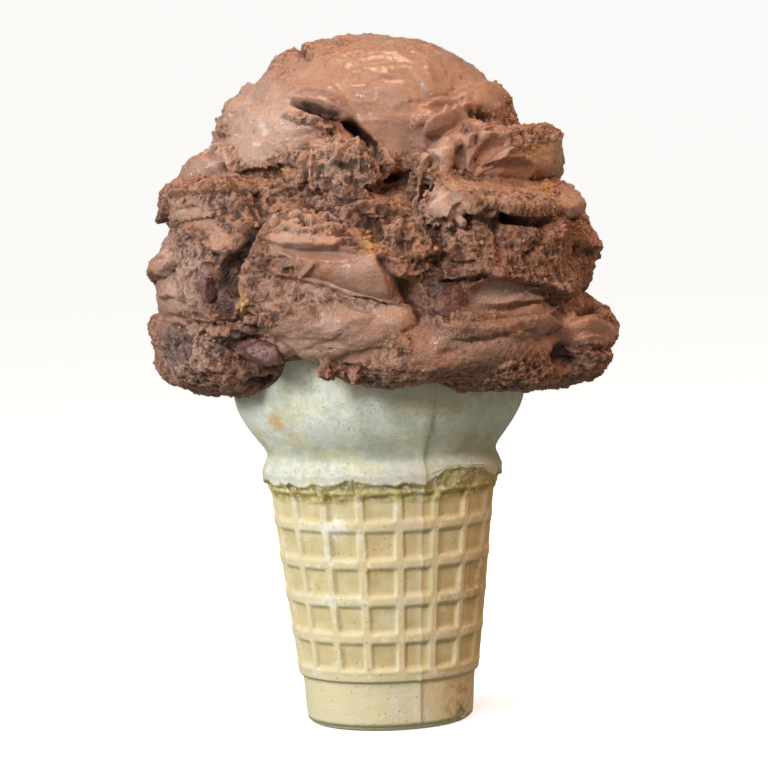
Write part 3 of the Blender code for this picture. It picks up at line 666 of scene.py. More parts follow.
UPPER_LOBES = [
    ("dome", 2, 118.0, 0, (29.0, 28.5, 24.4), (0, 0, 0), 2.25, 0),
    ("left_slab", -37, 120.6, 32.6, (14.5, 12, 8.6), (26, 20, 0), 2.8, 0),
    ("left_cheek", -86, 123.0, 31.4, (13, 12, 7.2), (10, 6, 0), 2.6, 0),
    ("left_shoulder", -78, 108.6, 41.3, (18, 16, 7.0), (24, 26, 0), 2.6, 0),
    ("torn_lump", -13, 114.4, 36.6, (11.5, 10, 6.4), (-10, 6, 0), 2.8, 0),
    ("right_shoulder", 62, 122.5, 31.0, (14, 14, 9.5), (0, 8, 0), 2.8, 0),
    ("right_block", 60, 114.6, 39.4, (18, 12, 6.4), (0, 14, 0), 4.0, 0),
    ("shoulder_roll", 26, 122.9, 33.0, (4.6, 5, 3.0), (-18, 10, 0), 2.4, 0),
    ("petal_left", 13.5, 110.8, 38.8, (7.0, 3.5, 1.5), (72, 0, 18), 2.6, 0),
    ("petal_right", 23, 114.1, 38.2, (6.4, 4.0, 2.5), (66, 4, -8), 2.6, 0),
    ("scoop_step", 36, 119.4, 37.8, (6.0, 6, 3.4), (24, 2, 0), 3.0, 0),
    ("low_step", 43, 114.4, 39.8, (9.5, 6, 3.4), (-6, 4, 0), 3.0, 0),
]
# the same heap carried round its back in tiers: scoop, height, reach, half height, how many
BACK_TIERS = [
    ("lower", 78.5, 46.0, 8.4, 5),
    ("lower", 91.5, 45.0, 7.6, 4),
    ("lower", 104.0, 43.0, 6.8, 5),
    ("upper", 114.5, 38.0, 7.0, 4),
    ("upper", 125.0, 29.5, 7.5, 3),
]
BACK_FROM, BACK_TO, BACK_SEED = 118.0, 246.0, 7
print(len(LOWER_LOBES), "lower lobes,", len(UPPER_LOBES), "upper lobes")

# %% Make one lobe, and the lobes of the back
def add_lobe(bm, row):
    _, angle, z, reach, size, (roll, lean, twist), power, taper = row
    made = bmesh.ops.create_icosphere(bm, subdivisions=4, radius=1.0)
    rad = math.radians
    turn = Matrix.Rotation(rad(twist), 4, "Z") @ Matrix.Rotation(rad(-lean), 4, "X")
    turn = turn @ Matrix.Rotation(rad(-roll), 4, "Y")
    out = -(reach - size[1]) if reach else 0.0
    place = Matrix.Rotation(rad(angle), 4, "Z") @ Matrix.Translation(Vector((0, out, z)) * MM) @ turn
    place = place @ Matrix.Diagonal((size[0] * MM, size[1] * MM, size[2] * MM, 1.0))
    for vert in made["verts"]:
        c = vert.co
        c = c / (abs(c.x) ** power + abs(c.y) ** power + abs(c.z) ** power) ** (1.0 / power)
        c.z *= 1.0 - taper * c.x
        vert.co = place @ c


def back_lobes(scoop):
    rng = random.Random(BACK_SEED + len(scoop))
    rows = []
    for which, z, reach, high, count in BACK_TIERS:
        pitch = (BACK_TO - BACK_FROM) / count
        for k in range(count):
            angle = BACK_FROM + (k + 0.5) * pitch + rng.uniform(-6, 6)
            across = reach * math.radians(pitch) * rng.uniform(0.55, 0.72)
            size = (across, 15.0, high * rng.uniform(0.85, 1.1))
            turn = (rng.uniform(-14, 14), rng.uniform(-4, 10), 0)
            power = rng.uniform(2.5, 3.8)
            spread = rng.uniform(-1.2, 1.0)
            taper = rng.uniform(0.0, 0.25)
            if which == scoop:
                far = reach + spread
                rows.append((f"back_{len(rows)}", angle, z + spread, far, size, turn, power, taper))
    return rows


def melt(name, rows, voxel):
    """One closed skin round all the lobes."""
    bm = bmesh.new()
    for row in rows:
        add_lobe(bm, row)
    scoop = new_piece(name, bm)
    remesh = scoop.modifiers.new("melt", "REMESH")
    remesh.mode = "VOXEL"
    remesh.voxel_size = voxel * MM
    remesh.use_smooth_shade = True
    relax = scoop.modifiers.new("relax", "SMOOTH")
    relax.factor = 0.5
    relax.iterations = 3
    bake(scoop)
    return scoop


VOXEL = 0.32
lower = melt("lower_ice_cream", LOWER_LOBES + back_lobes("lower"), VOXEL)
upper = melt("upper_ice_cream", UPPER_LOBES + back_lobes("upper"), VOXEL)
print("skins:", triangles(lower), "and", triangles(upper), "triangles")

# %% [markdown]
# ## Folds, tears and lips
# Where a sheet of ice cream slides over the one below, it leaves a ledge: a lip that stands
# proud, and a sharp undercut beneath it. A tear leaves a crack, a dragged edge a thin ridge, and
# a bubble or a lost piece a dent. Each is drawn as a line laid over the skin, as seen from the
# camera's place, and the skin is pushed out or in by how far each point lies from the line.

# %% Lay a line over the skin
class Skin:
    def __init__(self, scoops):
        points = []
        faces = []
        for scoop in scoops:
            base = len(points)
            points.extend(vert.co / MM for vert in scoop.data.vertices)
            faces.extend([base + i for i in face.vertices] for face in scoop.data.polygons)
        self.tree = BVHTree.FromPolygons(points, faces)

    def seen(self, x, z, around=0.0):
        """Where the sight line to (x, z) above the axis meets the skin, all turned by around degrees."""
        turn = Matrix.Rotation(math.radians(around), 4, "Z")
        eye = turn @ EYE
        aim = turn @ Vector((x, 0.0, z))
        hit = self.tree.ray_cast(eye, (aim - eye).normalized())
        if hit[0] is None:
            hit = self.tree.find_nearest(aim)
        return np.array(hit[0]), np.array(hit[1])

    def line(self, points, around=0.0):
        """A smooth line over the skin: its points and the outward direction at each."""
        curve = finer(points, 0.7)
        met = [self.seen(x, z, around) for x, z in curve]
        return np.array([m[0] for m in met]), np.array([m[1] for m in met])


def beside(P, N, line, normals, reach):
    """Points within reach of a line: which, how far to its left (+) or right (-), and how far along.

    How far along runs from 0 to 1. Points that face away from the line's own side are left out.
    """
    box = (P >= line.min(0) - reach) & (P <= line.max(0) + reach)
    near = np.where(box.all(1))[0]
    pieces = line[1:] - line[:-1]
    lengths = np.linalg.norm(pieces, axis=1)
    starts = np.concatenate([[0.0], np.cumsum(lengths)])
    best = np.full(len(near), 1e9)
    side = np.zeros(len(near))
    share = np.zeros(len(near))
    for i, length in enumerate(lengths):
        if length < 1e-6:
            continue
        ahead = pieces[i] / length
        offset = P[near] - line[i]
        t = np.clip(offset @ ahead, 0.0, length)
        apart = offset - t[:, None] * ahead
        distance = np.linalg.norm(apart, axis=1)
        closer = distance < best
        best[closer] = distance[closer]
        side[closer] = (apart @ np.cross(normals[i], ahead))[closer]
        share[closer] = ((starts[i] + t) / starts[-1])[closer]
    index = np.clip((share * (len(line) - 1)).astype(int), 0, len(line) - 1)
    keep = (best < reach) & ((N[near] * normals[index]).sum(1) > -0.2)
    return near[keep], np.where(side[keep] >= 0, best[keep], -best[keep]), share[keep]


skin = Skin([lower, upper])
print("the front of the dome is at", np.round(skin.seen(0.0, 125.0)[0], 1))

# %% The folds of the front
# scoop, name, kind, points (across, up), sizes
# ledge: rise, fades upward over, undercut, fades downward over. crack and dent: depth, width.
# ridge: rise, width. A ledge's upper side is to the left of its direction.
STROKES = [
    ("upper", "eye_lip", "ledge",
     [(-17.7, 128.7), (-15.5, 130.7), (-12.2, 131.6), (-8.1, 130.4), (-5.0, 128.0), (-3.2, 125.7)],
     (1.1, 1.1, 0.0, 1.0)),
    ("upper", "eye_notch", "crack",
     [(-16.4, 129.7), (-13.7, 128.5), (-9.8, 127.2), (-6.1, 125.8), (-4.1, 125.5)], (4.6, 0.9)),
    ("upper", "eye_floor", "ledge",
     [(-3.7, 124.9), (-8.3, 124.6), (-12.8, 125.6), (-16.9, 127.8)], (0.0, 1.0, 0.5, 1.6)),
    ("upper", "eye_tooth", "ridge", [(-10.7, 127.2), (-11.1, 125.3)], (1.0, 1.0)),
    ("upper", "tear", "crack",
     [(-5.5, 125.4), (-2.9, 123.2), (-0.5, 120.2), (1.4, 116.8), (3.4, 112.6)], (8.5, 1.05)),
    ("upper", "tear_edge", "ridge", [(-3.7, 125.7), (-0.8, 123.1), (1.9, 118.9), (4.3, 114.2)], (0.9, 0.9)),
    ("upper", "lump_shred", "ridge", [(-4.0, 117.0), (-4.5, 113.7), (-5.8, 110.9)], (1.2, 0.9)),
    ("upper", "lump_split", "crack", [(-14.8, 117.4), (-13.6, 114.0), (-14.4, 111.2)], (1.8, 0.9)),
    ("upper", "lump_drop", "ridge", [(-7.5, 121.3), (-7.0, 118.2), (-8.0, 115.5)], (1.4, 1.0)),
    ("upper", "slab_drag", "ledge",
     [(-14.7, 119.5), (-20.8, 121.7), (-27.0, 122.8), (-32.3, 120.9)], (0.4, 2.0, 0.5, 1.6)),
    ("upper", "slab_crease", "ledge",
     [(-18.3, 122.9), (-20.7, 125.9), (-23.5, 127.6), (-26.8, 129.0)], (0.5, 2.4, 0.5, 2.0)),
    ("upper", "tear_hole", "dent", [(4.2, 111.3), (7.0, 110.4)], (5.0, 2.2)),
    ("upper", "top_nick", "crack", [(-14.5, 140.8), (-13.1, 138.8), (-11.5, 137.8)], (1.6, 0.8)),
    ("upper", "layer_a", "ledge", [(-17.2, 134.4), (-22.0, 133.6), (-26.7, 132.3)], (0.9, 3.0, 0.7, 2.0)),
    ("upper", "layer_b", "ledge", [(-22.2, 128.8), (-26.4, 128.6), (-30.2, 127.5)], (1.4, 3.5, 1.0, 2.5)),
    ("upper", "outline_nick", "crack", [(-35.0, 120.2), (-33.0, 118.9), (-30.5, 118.4)], (1.4, 0.9)),
    ("upper", "outline_step", "ledge",
     [(-29.4, 127.0), (-32.3, 125.9), (-34.5, 123.1)], (1.2, 2.0, 0.9, 1.6)),
    ("upper", "slab_foot", "ledge",
     [(-29.0, 114.2), (-25.2, 115.7), (-18.9, 116.5), (-12.8, 115.2)], (1.0, 3.0, 1.6, 2.0)),
    ("upper", "notch_left", "crack", [(-31.6, 118.4), (-30.8, 115.5), (-29.5, 112.5)], (2.6, 1.0)),
    ("upper", "drip", "ridge", [(-6.6, 123.7), (-6.4, 119.6), (-7.6, 115.1)], (1.2, 1.2)),
    ("upper", "shoulder_ridge", "ledge",
     [(20.9, 128.4), (16.7, 126.9), (13.0, 125.7), (11.2, 123.5), (10.9, 120.6)], (1.4, 3.4, 1.1, 2.6)),
    ("upper", "petal_right", "ledge", [(11.1, 106.5), (12.1, 111.1), (12.9, 116.8)], (1.2, 1.6, 1.6, 2.0)),
    ("upper", "petal_gap", "crack", [(13.1, 118.1), (12.1, 112.7), (10.7, 107.4)], (1.5, 0.9)),
    ("upper", "petal_seam", "crack", [(19.0, 120.4), (18.8, 115.2), (17.8, 109.6)], (1.6, 0.9)),
    ("upper", "petal_left", "ledge",
     [(11.1, 119.4), (9.1, 115.7), (7.1, 110.8), (7.3, 105.8)], (0.4, 2.5, 2.4, 2.0)),
    ("upper", "tip", "ridge", [(11.1, 120.6), (11.9, 118.5), (14.3, 117.2)], (1.0, 1.2)),
    ("upper", "scoop_a_rim", "ledge",
     [(29.5, 121.9), (26.1, 120.9), (20.7, 121.5), (19.2, 118.3), (18.8, 113.1)], (1.5, 1.8, 0.4, 2.0)),
    ("upper", "scoop_b_rim", "ledge",
     [(32.4, 115.8), (30.6, 117.5), (28.3, 118.2), (24.3, 116.0), (21.2, 112.4)], (1.5, 1.6, 0.4, 2.0)),
    ("upper", "pit_a", "dent", [(23.8, 125.6), (24.8, 124.7)], (2.2, 1.3)),
    ("upper", "pit_b", "dent", [(21.3, 126.1), (21.7, 125.7)], (1.5, 1.0)),
    ("upper", "pit_c", "dent", [(19.9, 122.4), (22.8, 122.7)], (1.5, 1.1)),
    ("upper", "dome_rib", "ridge", [(12.4, 139.2), (12.8, 134.0), (14.7, 129.2)], (0.35, 1.2)),
    ("upper", "dome_drag", "ledge", [(-3.7, 137.3), (0.8, 134.6), (6.2, 133.2)], (0.35, 2.0, 0.35, 1.6)),
    ("upper", "dome_crease", "ledge",
     [(7.5, 136.1), (10.7, 132.2), (13.1, 128.8), (15.9, 127.1)], (0.45, 2.2, 0.5, 1.6)),
    ("upper", "dome_fold", "ledge",
     [(21.0, 130.2), (16.8, 129.3), (11.6, 128.5), (8.8, 124.9)], (0.5, 3.0, 0.4, 3.0)),
    ("upper", "corner_top", "ledge", [(39.3, 118.0), (36.3, 121.4), (31.1, 122.4)], (0.8, 2.5, 0.8, 2.0)),
    ("lower", "waist_left", "crack",
     [(-29.9, 112.3), (-26.8, 113.2), (-24.1, 112.3), (-22.5, 109.4)], (3.2, 1.5)),
    ("lower", "waist_mid", "crack",
     [(-15.0, 109.5), (-9.9, 106.9), (-5.7, 108.8), (-2.1, 110.3), (2.6, 109.7)], (2.6, 1.4)),
    ("lower", "plate_lip", "ledge", [(25.2, 105.4), (31.0, 104.2), (37.4, 103.3)], (1.4, 2.4, 3.0, 1.4)),
    ("lower", "plate_slit", "crack", [(25.8, 104.4), (31.6, 103.3), (36.7, 102.7)], (3.4, 0.9)),
    ("lower", "block_foot", "ledge",
     [(10.3, 91.6), (16.6, 91.6), (22.9, 92.0), (30.1, 90.5), (36.7, 89.0), (41.2, 85.7)],
     (0.9, 3.0, 1.9, 2.6)),
    ("lower", "torn_edge", "ridge", [(32.6, 89.6), (36.3, 88.4), (40.8, 85.9)], (1.3, 1.0)),
    ("lower", "hollow", "dent", [(21.7, 87.4), (31.1, 87.5)], (1.6, 3.0)),
    ("lower", "shelf_line", "ledge",
     [(36.6, 85.9), (31.2, 84.8), (25.3, 84.6), (19.5, 84.8)], (0.9, 2.2, 0.9, 1.6)),
    ("lower", "shelf_tear", "ledge",
     [(19.6, 87.1), (25.4, 85.6), (30.8, 85.5), (36.7, 86.5), (40.9, 88.0)], (1.0, 1.8, 1.2, 1.4)),
    ("lower", "roll", "ledge",
     [(42.2, 77.5), (38.8, 81.8), (34.1, 83.7), (26.7, 82.7), (20.7, 82.0), (11.1, 83.6)],
     (1.5, 5.0, 1.5, 1.8)),
    ("lower", "roll_pit", "dent", [(14.2, 76.4), (15.5, 76.0)], (1.0, 0.9)),
    ("lower", "roll_drag", "ledge",
     [(10.9, 78.2), (19.3, 79.2), (27.7, 79.3), (35.6, 78.2)], (0.5, 2.2, 0.5, 1.6)),
    ("lower", "right_lip_a", "ledge", [(48.5, 79.8), (44.9, 82.5), (40.2, 81.2)], (1.2, 3.0, 1.4, 2.0)),
    ("lower", "tongue_fold", "ledge", [(47.2, 78.2), (43.9, 79.1), (40.6, 78.0)], (0.8, 1.6, 0.9, 1.2)),
    ("lower", "right_lip_b", "ledge", [(48.6, 75.6), (44.2, 75.4), (38.0, 76.9)], (1.3, 2.6, 1.6, 2.0)),
    ("lower", "right_hole", "dent", [(38.4, 75.6), (41.0, 73.0)], (3.4, 2.0)),
    ("lower", "right_under", "crack", [(41.4, 84.2), (44.9, 85.0), (47.3, 86.1)], (2.4, 1.4)),
    ("lower", "knife", "ledge",
     [(8.3, 81.6), (5.4, 87.6), (2.3, 92.7), (-0.5, 98.2)], (2.3, 6.0, 2.6, 2.4)),
    ("lower", "knife_back", "dent", [(6.1, 89.6), (11.2, 84.9)], (1.6, 2.6)),
    ("lower", "slab_edge", "ledge",
     [(-22.3, 94.0), (-15.7, 92.7), (-9.1, 90.6), (-2.9, 88.3), (5.8, 86.5)], (1.2, 4.0, 0.8, 2.0)),
    ("lower", "apron_top", "ledge",
     [(-5.0, 88.2), (-12.7, 87.6), (-18.4, 86.3), (-24.7, 85.7)], (0.8, 4.0, 0.9, 2.2)),
    ("lower", "apron_pit", "dent", [(-12.6, 85.5), (-12.0, 84.4)], (1.2, 0.7)),
    ("lower", "apron_fold", "ledge",
     [(-10.0, 75.2), (-4.5, 77.1), (0.9, 78.1), (6.7, 76.7)], (0.3, 2.4, 0.35, 1.8)),
    ("lower", "apron_drag", "ledge",
     [(-16.2, 77.5), (-9.9, 80.2), (-3.9, 83.3), (3.2, 83.9)], (0.25, 2.8, 0.25, 2.4)),
    ("lower", "crumb_brow", "ledge",
     [(-25.7, 102.8), (-20.6, 100.4), (-15.4, 98.7), (-8.1, 99.1), (-4.9, 100.9)], (1.2, 3.5, 1.4, 1.8)),
    ("lower", "step_two", "ledge",
     [(-23.4, 97.8), (-18.0, 97.2), (-15.0, 94.1), (-11.0, 96.1)], (0.6, 2.5, 0.7, 1.6)),
    ("lower", "slab_smile", "ledge",
     [(-13.2, 96.4), (-15.4, 94.1), (-18.3, 93.8), (-21.0, 95.0)], (0.7, 1.8, 0.7, 1.2)),
    ("lower", "gully_left", "crack",
     [(-22.2, 108.3), (-24.8, 104.9), (-27.5, 100.0), (-29.9, 95.9), (-30.7, 90.9), (-28.8, 86.7)],
     (4.2, 2.0)),
    ("lower", "wedge_left", "ledge", [(-39.8, 103.9), (-35.6, 100.5), (-30.9, 97.6)], (1.6, 3.2, 1.6, 2.0)),
    ("lower", "wedge_top", "ledge", [(-30.1, 106.9), (-34.9, 107.3), (-40.1, 106.7)], (0.9, 3.0, 0.9, 1.6)),
    ("lower", "left_nick", "crack", [(-43.9, 85.6), (-41.0, 84.6), (-37.7, 82.4)], (1.4, 0.9)),
    ("lower", "left_fold", "ledge", [(-45.4, 89.4), (-42.4, 90.1), (-39.1, 88.7)], (1.1, 2.2, 1.2, 1.5)),
    ("lower", "left_drag", "ledge", [(-44.6, 97.3), (-42.1, 99.7), (-39.1, 100.8)], (0.7, 2.2, 0.8, 1.5)),
    ("lower", "strip_left", "ledge",
     [(-42.4, 110.9), (-36.2, 111.7), (-29.1, 111.7)], (0.9, 3.0, 1.2, 1.8)),
    ("lower", "knob_top", "ledge",
     [(-26.4, 84.9), (-31.5, 82.6), (-37.7, 83.7), (-45.1, 85.2)], (0.9, 3.0, 1.3, 1.8)),
    ("lower", "streak_bed", "crack",
     [(-31.2, 79.5), (-25.5, 80.3), (-20.4, 78.5), (-16.3, 74.6)], (1.4, 2.0)),
    ("lower", "centre_gap", "crack", [(-3.7, 107.7), (-0.3, 102.8), (2.3, 100.2)], (2.2, 1.4)),
    ("lower", "column_left", "ledge", [(4.9, 98.0), (6.4, 103.2), (6.1, 107.3)], (0.9, 2.5, 1.2, 2.0)),
    ("lower", "knob_folds", "ledge",
     [(20.1, 103.3), (17.1, 106.3), (13.2, 108.1), (10.8, 105.1)], (1.0, 2.2, 1.2, 1.4)),
    ("lower", "column_right", "crack", [(25.1, 103.1), (26.2, 98.3), (25.6, 93.5)], (1.6, 1.4)),
    ("lower", "face_groove", "crack", [(36.3, 101.9), (33.7, 97.8), (30.2, 94.6)], (0.8, 1.0)),
    ("lower", "column_ledge", "ledge",
     [(6.3, 95.5), (11.6, 96.5), (16.7, 95.1), (21.9, 95.8)], (0.8, 1.8, 1.0, 1.4)),
    ("lower", "column_split", "crack", [(13.8, 100.6), (14.5, 97.3), (13.1, 93.6)], (1.3, 0.9)),
    ("lower", "face_right", "ledge", [(42.2, 104.0), (42.9, 98.8), (44.0, 94.2)], (0.9, 2.5, 1.2, 2.0)),
    ("lower", "bowl_lift", "dent", [(-25.8, 71.1), (-18.9, 71.7), (-13.1, 71.9)], (2.8, 2.2)),
]
# smooth places, where the scoop slid over: scoop, middle, half sizes, roll, how smooth
SATIN = [
    ("lower", (16.0, 106.2), (4.6, 2.7), -25, 0.85),
    ("upper", (36.1, 115.6), (3.3, 4.2), 0, 0.85),
    ("upper", (24.1, 116.7), (5.4, 3.5), 40, 0.9),
    ("upper", (31.5, 113.3), (9.2, 3.1), 0, 0.9),
    ("upper", (14.5, 114.7), (5.0, 6.7), 0, 0.8),
    ("upper", (14.8, 123.8), (4.2, 2.9), 0, 0.9),
    ("lower", (-44.0, 100.4), (1.6, 4.2), 0, 0.8),
    ("lower", (-43.3, 88.2), (3.3, 5.4), 0, 0.75),
    ("lower", (-35.5, 102.3), (5.4, 2.9), -38, 0.9),
    ("lower", (26.6, 111.0), (10.4, 1.5), 0, 0.7),
    ("lower", (42.1, 107.5), (2.5, 4.2), 0, 0.8),
    ("lower", (-9.5, 89.8), (12.5, 1.2), -14, 0.5),
    ("upper", (5.4, 130.1), (26.0, 14.2), 0, 0.97),
    ("upper", (-18.6, 125.8), (12.9, 8.3), 30, 0.95),
    ("upper", (-34.6, 115.6), (7.1, 4.2), 30, 0.85),
    ("upper", (32.3, 114.5), (8.8, 3.1), 0, 0.85),
    ("upper", (14.9, 115.3), (4.6, 5.0), 0, 0.85),
    ("upper", (38.2, 115.5), (2.9, 5.4), 0, 0.85),
    ("upper", (-24.6, 132.2), (6.2, 8.3), 0, 0.85),
    ("upper", (-12.9, 111.1), (5.8, 2.3), -10, 0.8),
    ("lower", (-6.2, 93.8), (15.4, 5.4), -18, 0.88),
    ("lower", (-13.3, 99.5), (10.0, 2.5), -6, 0.85),
    ("lower", (-6.7, 80.7), (18.3, 6.2), 6, 0.8),
    ("lower", (25.9, 87.7), (8.3, 3.8), 0, 0.85),
    ("lower", (-35.0, 103.2), (5.4, 3.1), -35, 0.85),
    ("lower", (19.3, 77.7), (20.8, 5.4), 6, 0.6),
    ("lower", (38.1, 79.1), (8.3, 3.8), -30, 0.85),
    ("lower", (17.1, 106.9), (4.6, 2.9), -30, 0.7),
    ("lower", (-43.6, 88.0), (2.0, 6.4), 0, 0.7),
    ("lower", (-36.6, 107.6), (6.2, 1.3), 5, 0.85),
    ("lower", (30.0, 85.7), (10.4, 1.9), 0, 0.85),
    ("lower", (43.3, 80.0), (5.8, 4.6), 0, 0.85),
]
# where a smooth place is broken open: scoop, middle, half sizes, roll
BROKEN = [
    ("lower", (-37.1, 99.5), (4.6, 5.4), 0),
    ("lower", (-28.4, 108.7), (6.2, 3.5), -6),
    ("lower", (-36.7, 77.2), (5.8, 5.0), 0),
    ("lower", (-28.9, 84.2), (7.1, 2.9), -10),
    ("lower", (-38.3, 110.7), (5.4, 1.5), 0),
    ("upper", (-12.0, 125.4), (5.6, 1.2), -16),
    ("upper", (-8.3, 123.8), (1.9, 2.9), 0),
    ("upper", (-8.2, 115.5), (12.5, 6.2), -8),
    ("upper", (-0.1, 119.0), (6.2, 0.8), -52),
    ("upper", (-12.7, 138.8), (1.9, 1.2), -40),
    ("upper", (5.4, 112.1), (3.3, 5.4), 0),
    ("upper", (24.4, 125.1), (2.1, 1.5), 0),
    ("upper", (19.9, 122.8), (1.7, 1.2), 0),
    ("upper", (35.2, 120.4), (4.6, 1.9), 0),
    ("lower", (27.9, 105.9), (10.0, 1.9), -2),
    ("lower", (10.3, 95.3), (6.2, 3.8), 0),
    ("lower", (-10.1, 73.1), (9.2, 1.5), 2),
    ("lower", (4.7, 78.2), (2.9, 2.5), 0),
    ("lower", (37.3, 87.1), (3.3, 1.5), -20),
    ("lower", (44.2, 75.8), (2.9, 1.7), 0),
    ("upper", (21.9, 118.2), (0.6, 3.8), 10),
]
# where it tore into crumbs instead of a fine sponge: scoop, middle, half sizes, roll
LUMPY = BROKEN[:4] + [
    ("upper", (-8.1, 116.1), (12.9, 7.5), -10),
    ("upper", (5.4, 112.1), (3.3, 5.4), 0),
    ("upper", (-7.7, 123.8), (2.1, 3.3), 0),
    ("upper", (-26.3, 115.3), (5.4, 1.9), 0),
    ("lower", (-14.2, 103.3), (12.5, 4.2), -4),
    ("lower", (-29.4, 109.0), (6.2, 3.5), 0),
    ("lower", (-37.1, 99.1), (5.0, 5.4), 0),
    ("lower", (-36.5, 76.9), (5.4, 5.0), 0),
    ("lower", (-27.2, 84.1), (7.1, 2.5), 0),
    ("lower", (10.6, 99.9), (7.5, 6.7), 0),
    ("lower", (18.1, 104.8), (3.8, 2.9), 0),
    ("lower", (-10.1, 73.1), (8.3, 1.9), 0),
    ("lower", (9.3, 92.0), (5.0, 2.5), 0),
    ("lower", (-0.7, 104.0), (5.4, 3.8), 0),
]
# stains left by what was stirred in: scoop, middle, half sizes, roll, how strong
TOFFEE = [
    ("upper", (36.2, 117.7), (3.8, 1.9), 0, 0.6),
    ("lower", (-0.6, 99.7), (2.1, 2.7), 0, 1.0),
    ("lower", (-28.1, 88.3), (1.2, 3.5), 8, 1.0),
    ("upper", (33.7, 117.6), (1.9, 1.5), 20, 0.9),
    ("lower", (35.3, 109.8), (2.3, 1.0), -10, 0.8),
    ("upper", (-18.0, 114.8), (6.2, 1.0), -14, 0.7),
    ("lower", (18.6, 106.5), (1.5, 1.0), 0, 0.5),
    ("lower", (-28.2, 112.9), (2.5, 0.8), 20, 0.5),
    ("lower", (16.6, 110.9), (1.5, 1.0), 0, 0.5),
]
FUDGE = [
    ("lower", (-42.2, 79.9), (2.7, 4.6), 0, 0.8),
    ("lower", (-29.0, 80.9), (5.8, 1.5), 24, 0.9),
    ("lower", (-22.9, 77.3), (5.0, 1.2), -28, 0.9),
    ("lower", (14.8, 88.7), (3.5, 2.9), -20, 0.9),
    ("lower", (-34.0, 91.7), (2.3, 3.8), 0, 0.8),
    ("lower", (-31.0, 94.1), (1.5, 2.9), 0, 1.0),
    ("lower", (-44.2, 82.6), (1.7, 2.5), 0, 0.5),
    ("lower", (-31.4, 89.3), (1.5, 1.0), 0, 0.8),
]
# deep slits and pits, where hardly any light gets in: scoop, middle, half sizes, roll, how much
DEEP = [
    ("upper", (-10.6, 128.0), (5.2, 0.9), -20, 1.0),
    ("upper", (1.7, 118.5), (5.0, 0.9), -60, 1.0),
    ("upper", (-2.7, 123.4), (2.5, 0.9), -48, 1.0),
    ("lower", (-31.2, 93.9), (1.2, 2.7), -8, 0.9),
    ("lower", (31.4, 103.7), (6.2, 0.6), -4, 0.8),
]
# paler places, partly ice cream with more air in it and partly painted highlight where light falls: scoop,
# middle, half sizes, roll, how much
PALE_AND_LIT = [
    ("upper", (-22.4, 123.9), (11.2, 6.2), 24, 0.8),
    ("upper", (-24.7, 130.2), (6.2, 6.2), 0, 0.5),
    ("upper", (-8.6, 116.1), (7.9, 5.4), 0, 0.75),
    ("upper", (13.6, 114.3), (3.8, 5.4), 0, 0.45),
    ("upper", (35.2, 118.1), (5.4, 2.9), 0, 0.9),
    ("lower", (16.4, 105.5), (5.4, 4.2), -20, 1.0),
    ("lower", (-1.3, 86.8), (7.5, 3.8), -16, 0.7),
    ("lower", (-16.8, 89.2), (8.8, 2.7), 0, 0.8),
    ("lower", (-12.4, 79.4), (11.2, 4.2), 6, 0.5),
    ("lower", (26.3, 88.1), (5.8, 2.5), 0, 0.8),
    ("lower", (-40.1, 95.4), (4.6, 7.5), 0, 0.95),
    ("lower", (-15.7, 104.1), (9.2, 3.1), 0, 0.6),
    ("lower", (-37.5, 108.9), (6.2, 1.9), 0, 0.7),
    ("lower", (-39.1, 78.3), (5.8, 6.2), 0, 0.8),
    ("lower", (29.6, 107.5), (9.2, 2.1), 0, 0.4),
]
# hollows with a crisp rim: scoop, middle, half sizes, roll, depth,
# and lean: where it is deepest, from 1 at the lower edge to -1 at the upper
SPOONS = [
    ("upper", (1.7, 118.5), (2.9, 0.9), -60, 5.0, 0.0),
    ("upper", (-10.4, 128.2), (5.8, 1.2), -17, 3.0, 0.6),
    ("upper", (24.5, 117.3), (4.8, 2.4), 42, 2.6, -0.5),
    ("upper", (27.9, 113.6), (6.4, 2.5), 6, 2.4, -0.6),
    ("upper", (10.4, 111.5), (5.6, 1.5), 74, 1.4, 0.0),
    ("upper", (24.4, 124.9), (1.5, 1.2), 20, 2.2, 0),
    ("upper", (21.7, 125.9), (1.1, 0.9), 0, 1.6, 0),
    ("upper", (20.8, 122.6), (1.3, 0.9), 10, 1.4, 0),
    ("upper", (24.9, 122.0), (1.2, 0.8), 0, 1.2, 0),
    ("lower", (25.9, 88.5), (6.2, 2.4), 2, 0.7, -0.4),
    ("lower", (36.9, 87.3), (4.4, 1.4), -18, 1.8, -0.3),
    ("lower", (37.5, 107.1), (1.8, 0.8), -4, 2.6, 0),
    ("lower", (-11.3, 98.0), (7.8, 1.5), -8, 1.6, -0.6),
    ("lower", (-31.0, 94.1), (1.7, 4.2), -8, 4.4, 0.0),
    ("lower", (17.1, 105.1), (1.4, 2.4), -30, 1.4, 0.0),
    ("lower", (19.3, 103.3), (0.9, 2.0), -24, 1.6, 0.0),
    ("lower", (14.7, 103.5), (1.0, 1.4), -30, 1.4, 0.0),
]
print(len(STROKES), "folds,", len(SATIN), "smooth places and", len(SPOONS), "hollows")

